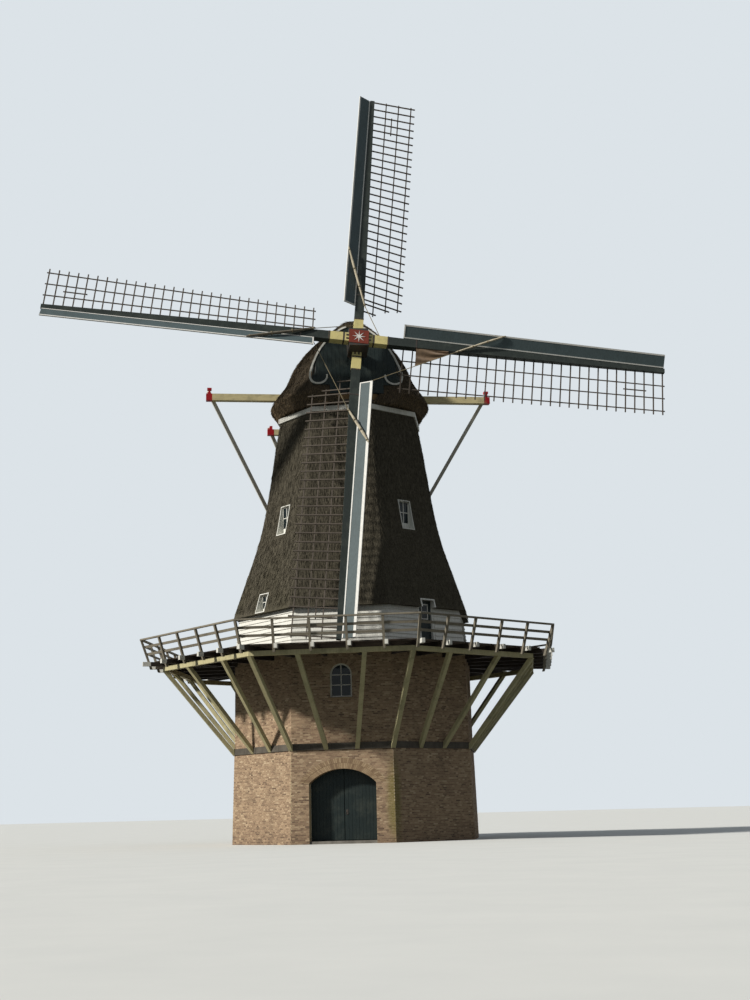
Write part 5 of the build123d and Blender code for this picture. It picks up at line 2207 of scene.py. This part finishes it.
    def stocks(self, sails: Sails) -> list[tuple[str, Timber]]:
        """Tarred stocks with cream roots.

        Args:
            sails: Gives the directions of the stocks.

        Returns:
            Name and finish of each.
        """
        found = []
        hub = tuple(sails.shaft().translation)
        low, high = self.stock_cream
        for name, angle, setback in (("inner_stock", 0.0, sails.setback), ("outer_stock", 90.0, 0.0)):
            along = sails.sail(angle, setback).to_3x3() @ Vector((0.0, 1.0, 0.0))
            cream = Band(srgb("D8CC8E"), low, high, direction=tuple(along), origin=hub, both_ways=True)
            look = Timber(name.replace("_", " "), TARRED, srgb("545A54"), 0.35, 0.5, bands=(cream,))
            found.append((name, look))
        return found

    def build(self, sails: Sails) -> Finishes:
        """Make the finishes and put them on the frame.

        Args:
            sails: Gives the directions of the stocks.

        Returns:
            Finishes by name.
        """
        for name, look in self.timbers() + self.coverings() + self.stocks(sails):
            self.finished[name] = look.material()
        for side in Side:
            core = WallCore(f"wall core {side.value}", side, MORTAR, srgb("C9C3B4"))
            name = f"core_{side.value}"
            self.finished[name] = core.material()
            self.worn_by[name] = tuple(BrickBase().wall_names(side))
        for name, nodes in self.worn_by.items():
            for node in nodes:
                mesh = frame["nodes"][node].data
                mesh.materials.clear()
                mesh.materials.append(self.finished[name])
        return self.finished


@dataclass
class Studio:
    """Camera, light, floor and background."""

    eye: Triple = (7.112, -59.122, 1.034)
    azimuth: float = 5.893
    pitch: float = 12.452
    roll: float = 1.424
    lens: float = 51.289
    film: float = 36.0
    sight: float = 9000.0
    sun_colour: Colour = (1.0, 0.95, 0.87)
    sun_strength: float = 4.5
    sun_spread: float = 4.5
    sun_turn: Triple = (56.0, 0.0, -57.0)
    sky: Colour = (0.80, 0.86, 0.93)
    sky_strength: float = 0.27
    background: Colour = srgb("DCE3E8")
    floor_reach: float = 3000.0
    floor_low: float = -0.001
    floor_pale: tuple[Colour, Colour] = (srgb("CDD0CF"), srgb("DADCDA"))
    floor_given_back: Colour = srgb("64665F")

    def camera(self) -> None:
        """Set the camera where the picture was taken from."""
        a, p, r = (math.radians(v) for v in (self.azimuth, self.pitch, self.roll))
        forward = Vector((-math.sin(a) * math.cos(p), math.cos(a) * math.cos(p), math.sin(p)))
        right = Vector((math.cos(a), math.sin(a), 0.0))
        up = right.cross(forward)
        side = right * math.cos(r) - up * math.sin(r)
        top = right * math.sin(r) + up * math.cos(r)
        place = Matrix((side, top, -forward)).transposed().to_4x4()
        place.translation = Vector(self.eye)
        data = bpy.data.cameras.new("camera")
        data.sensor_fit = "AUTO"
        data.sensor_width = self.film
        data.lens = self.lens
        data.clip_end = self.sight
        camera = bpy.data.objects.new("camera", data)
        camera.matrix_world = place
        bpy.context.scene.collection.objects.link(camera)
        bpy.context.scene.camera = camera

    def sun(self) -> None:
        """Set the sun."""
        light = bpy.data.lights.new("sun", "SUN")
        light.energy = self.sun_strength
        light.color = self.sun_colour
        light.angle = math.radians(self.sun_spread)
        lamp = bpy.data.objects.new("sun", light)
        lamp.rotation_euler = Euler([math.radians(v) for v in self.sun_turn])
        bpy.context.scene.collection.objects.link(lamp)

    def world(self) -> None:
        """Set the sky's light, and the pale background seen directly, in gloss and through glass."""
        world = bpy.data.worlds.new("sky")
        world.use_nodes = True
        sky = Nodes(world.node_tree)
        lit, seen = (
            sky.node("ShaderNodeBackground", {0: colour, 1: strength}).outputs[0]
            for colour, strength in ((self.sky, self.sky_strength), (self.background, 1.0))
        )
        mixed = sky.node("ShaderNodeMixShader", {0: sky.seen(), 1: lit, 2: seen})
        sky.node("ShaderNodeOutputWorld", {0: mixed.outputs[0]})
        bpy.context.scene.world = world
        bpy.context.scene.view_settings.view_transform = "Standard"

    def floor(self) -> None:
        """Lay the floor: pale where it is seen, and duller in the light that it gives back."""
        shape = bpy.data.meshes.new("floor")
        far, low = self.floor_reach, self.floor_low
        corners = [(-far, -far, low), (far, -far, low), (far, far, low), (-far, far, low)]
        shape.from_pydata(corners, [], [(0, 1, 2, 3)])
        shader = Shader("floor", 0.9, specular=0.1)
        grain = shader.noise(shader.coordinates, 0.6, 4.0, 0.6)
        pale = shader.blend(grain, *self.floor_pale)
        colour = shader.blend(shader.seen(), self.floor_given_back, pale)
        shape.materials.append(shader.finish(colour))
        floor = bpy.data.objects.new("floor", shape)
        bpy.context.scene.collection.objects.link(floor)

    def build(self) -> None:
        """Set everything."""
        self.camera()
        self.sun()
        self.world()
        self.floor()


def main() -> None:
    """Build the mill's looks, piece by piece."""
    logging.basicConfig(level=logging.INFO, format="%(message)s")
    sails = Sails()
    looks = Looks().build(sails)
    blocks, reeds = LaidBlocks(), Reeds()
    BrickBase().build(blocks, looks)
    Entrance().build(looks)
    Windows().build(looks)
    StageBoards().build(looks)
    Smock().build(reeds, looks)
    Cap().build(reeds, looks)
    sails.build(looks)
    Studio().build()


if __name__ == "__main__":
    main()
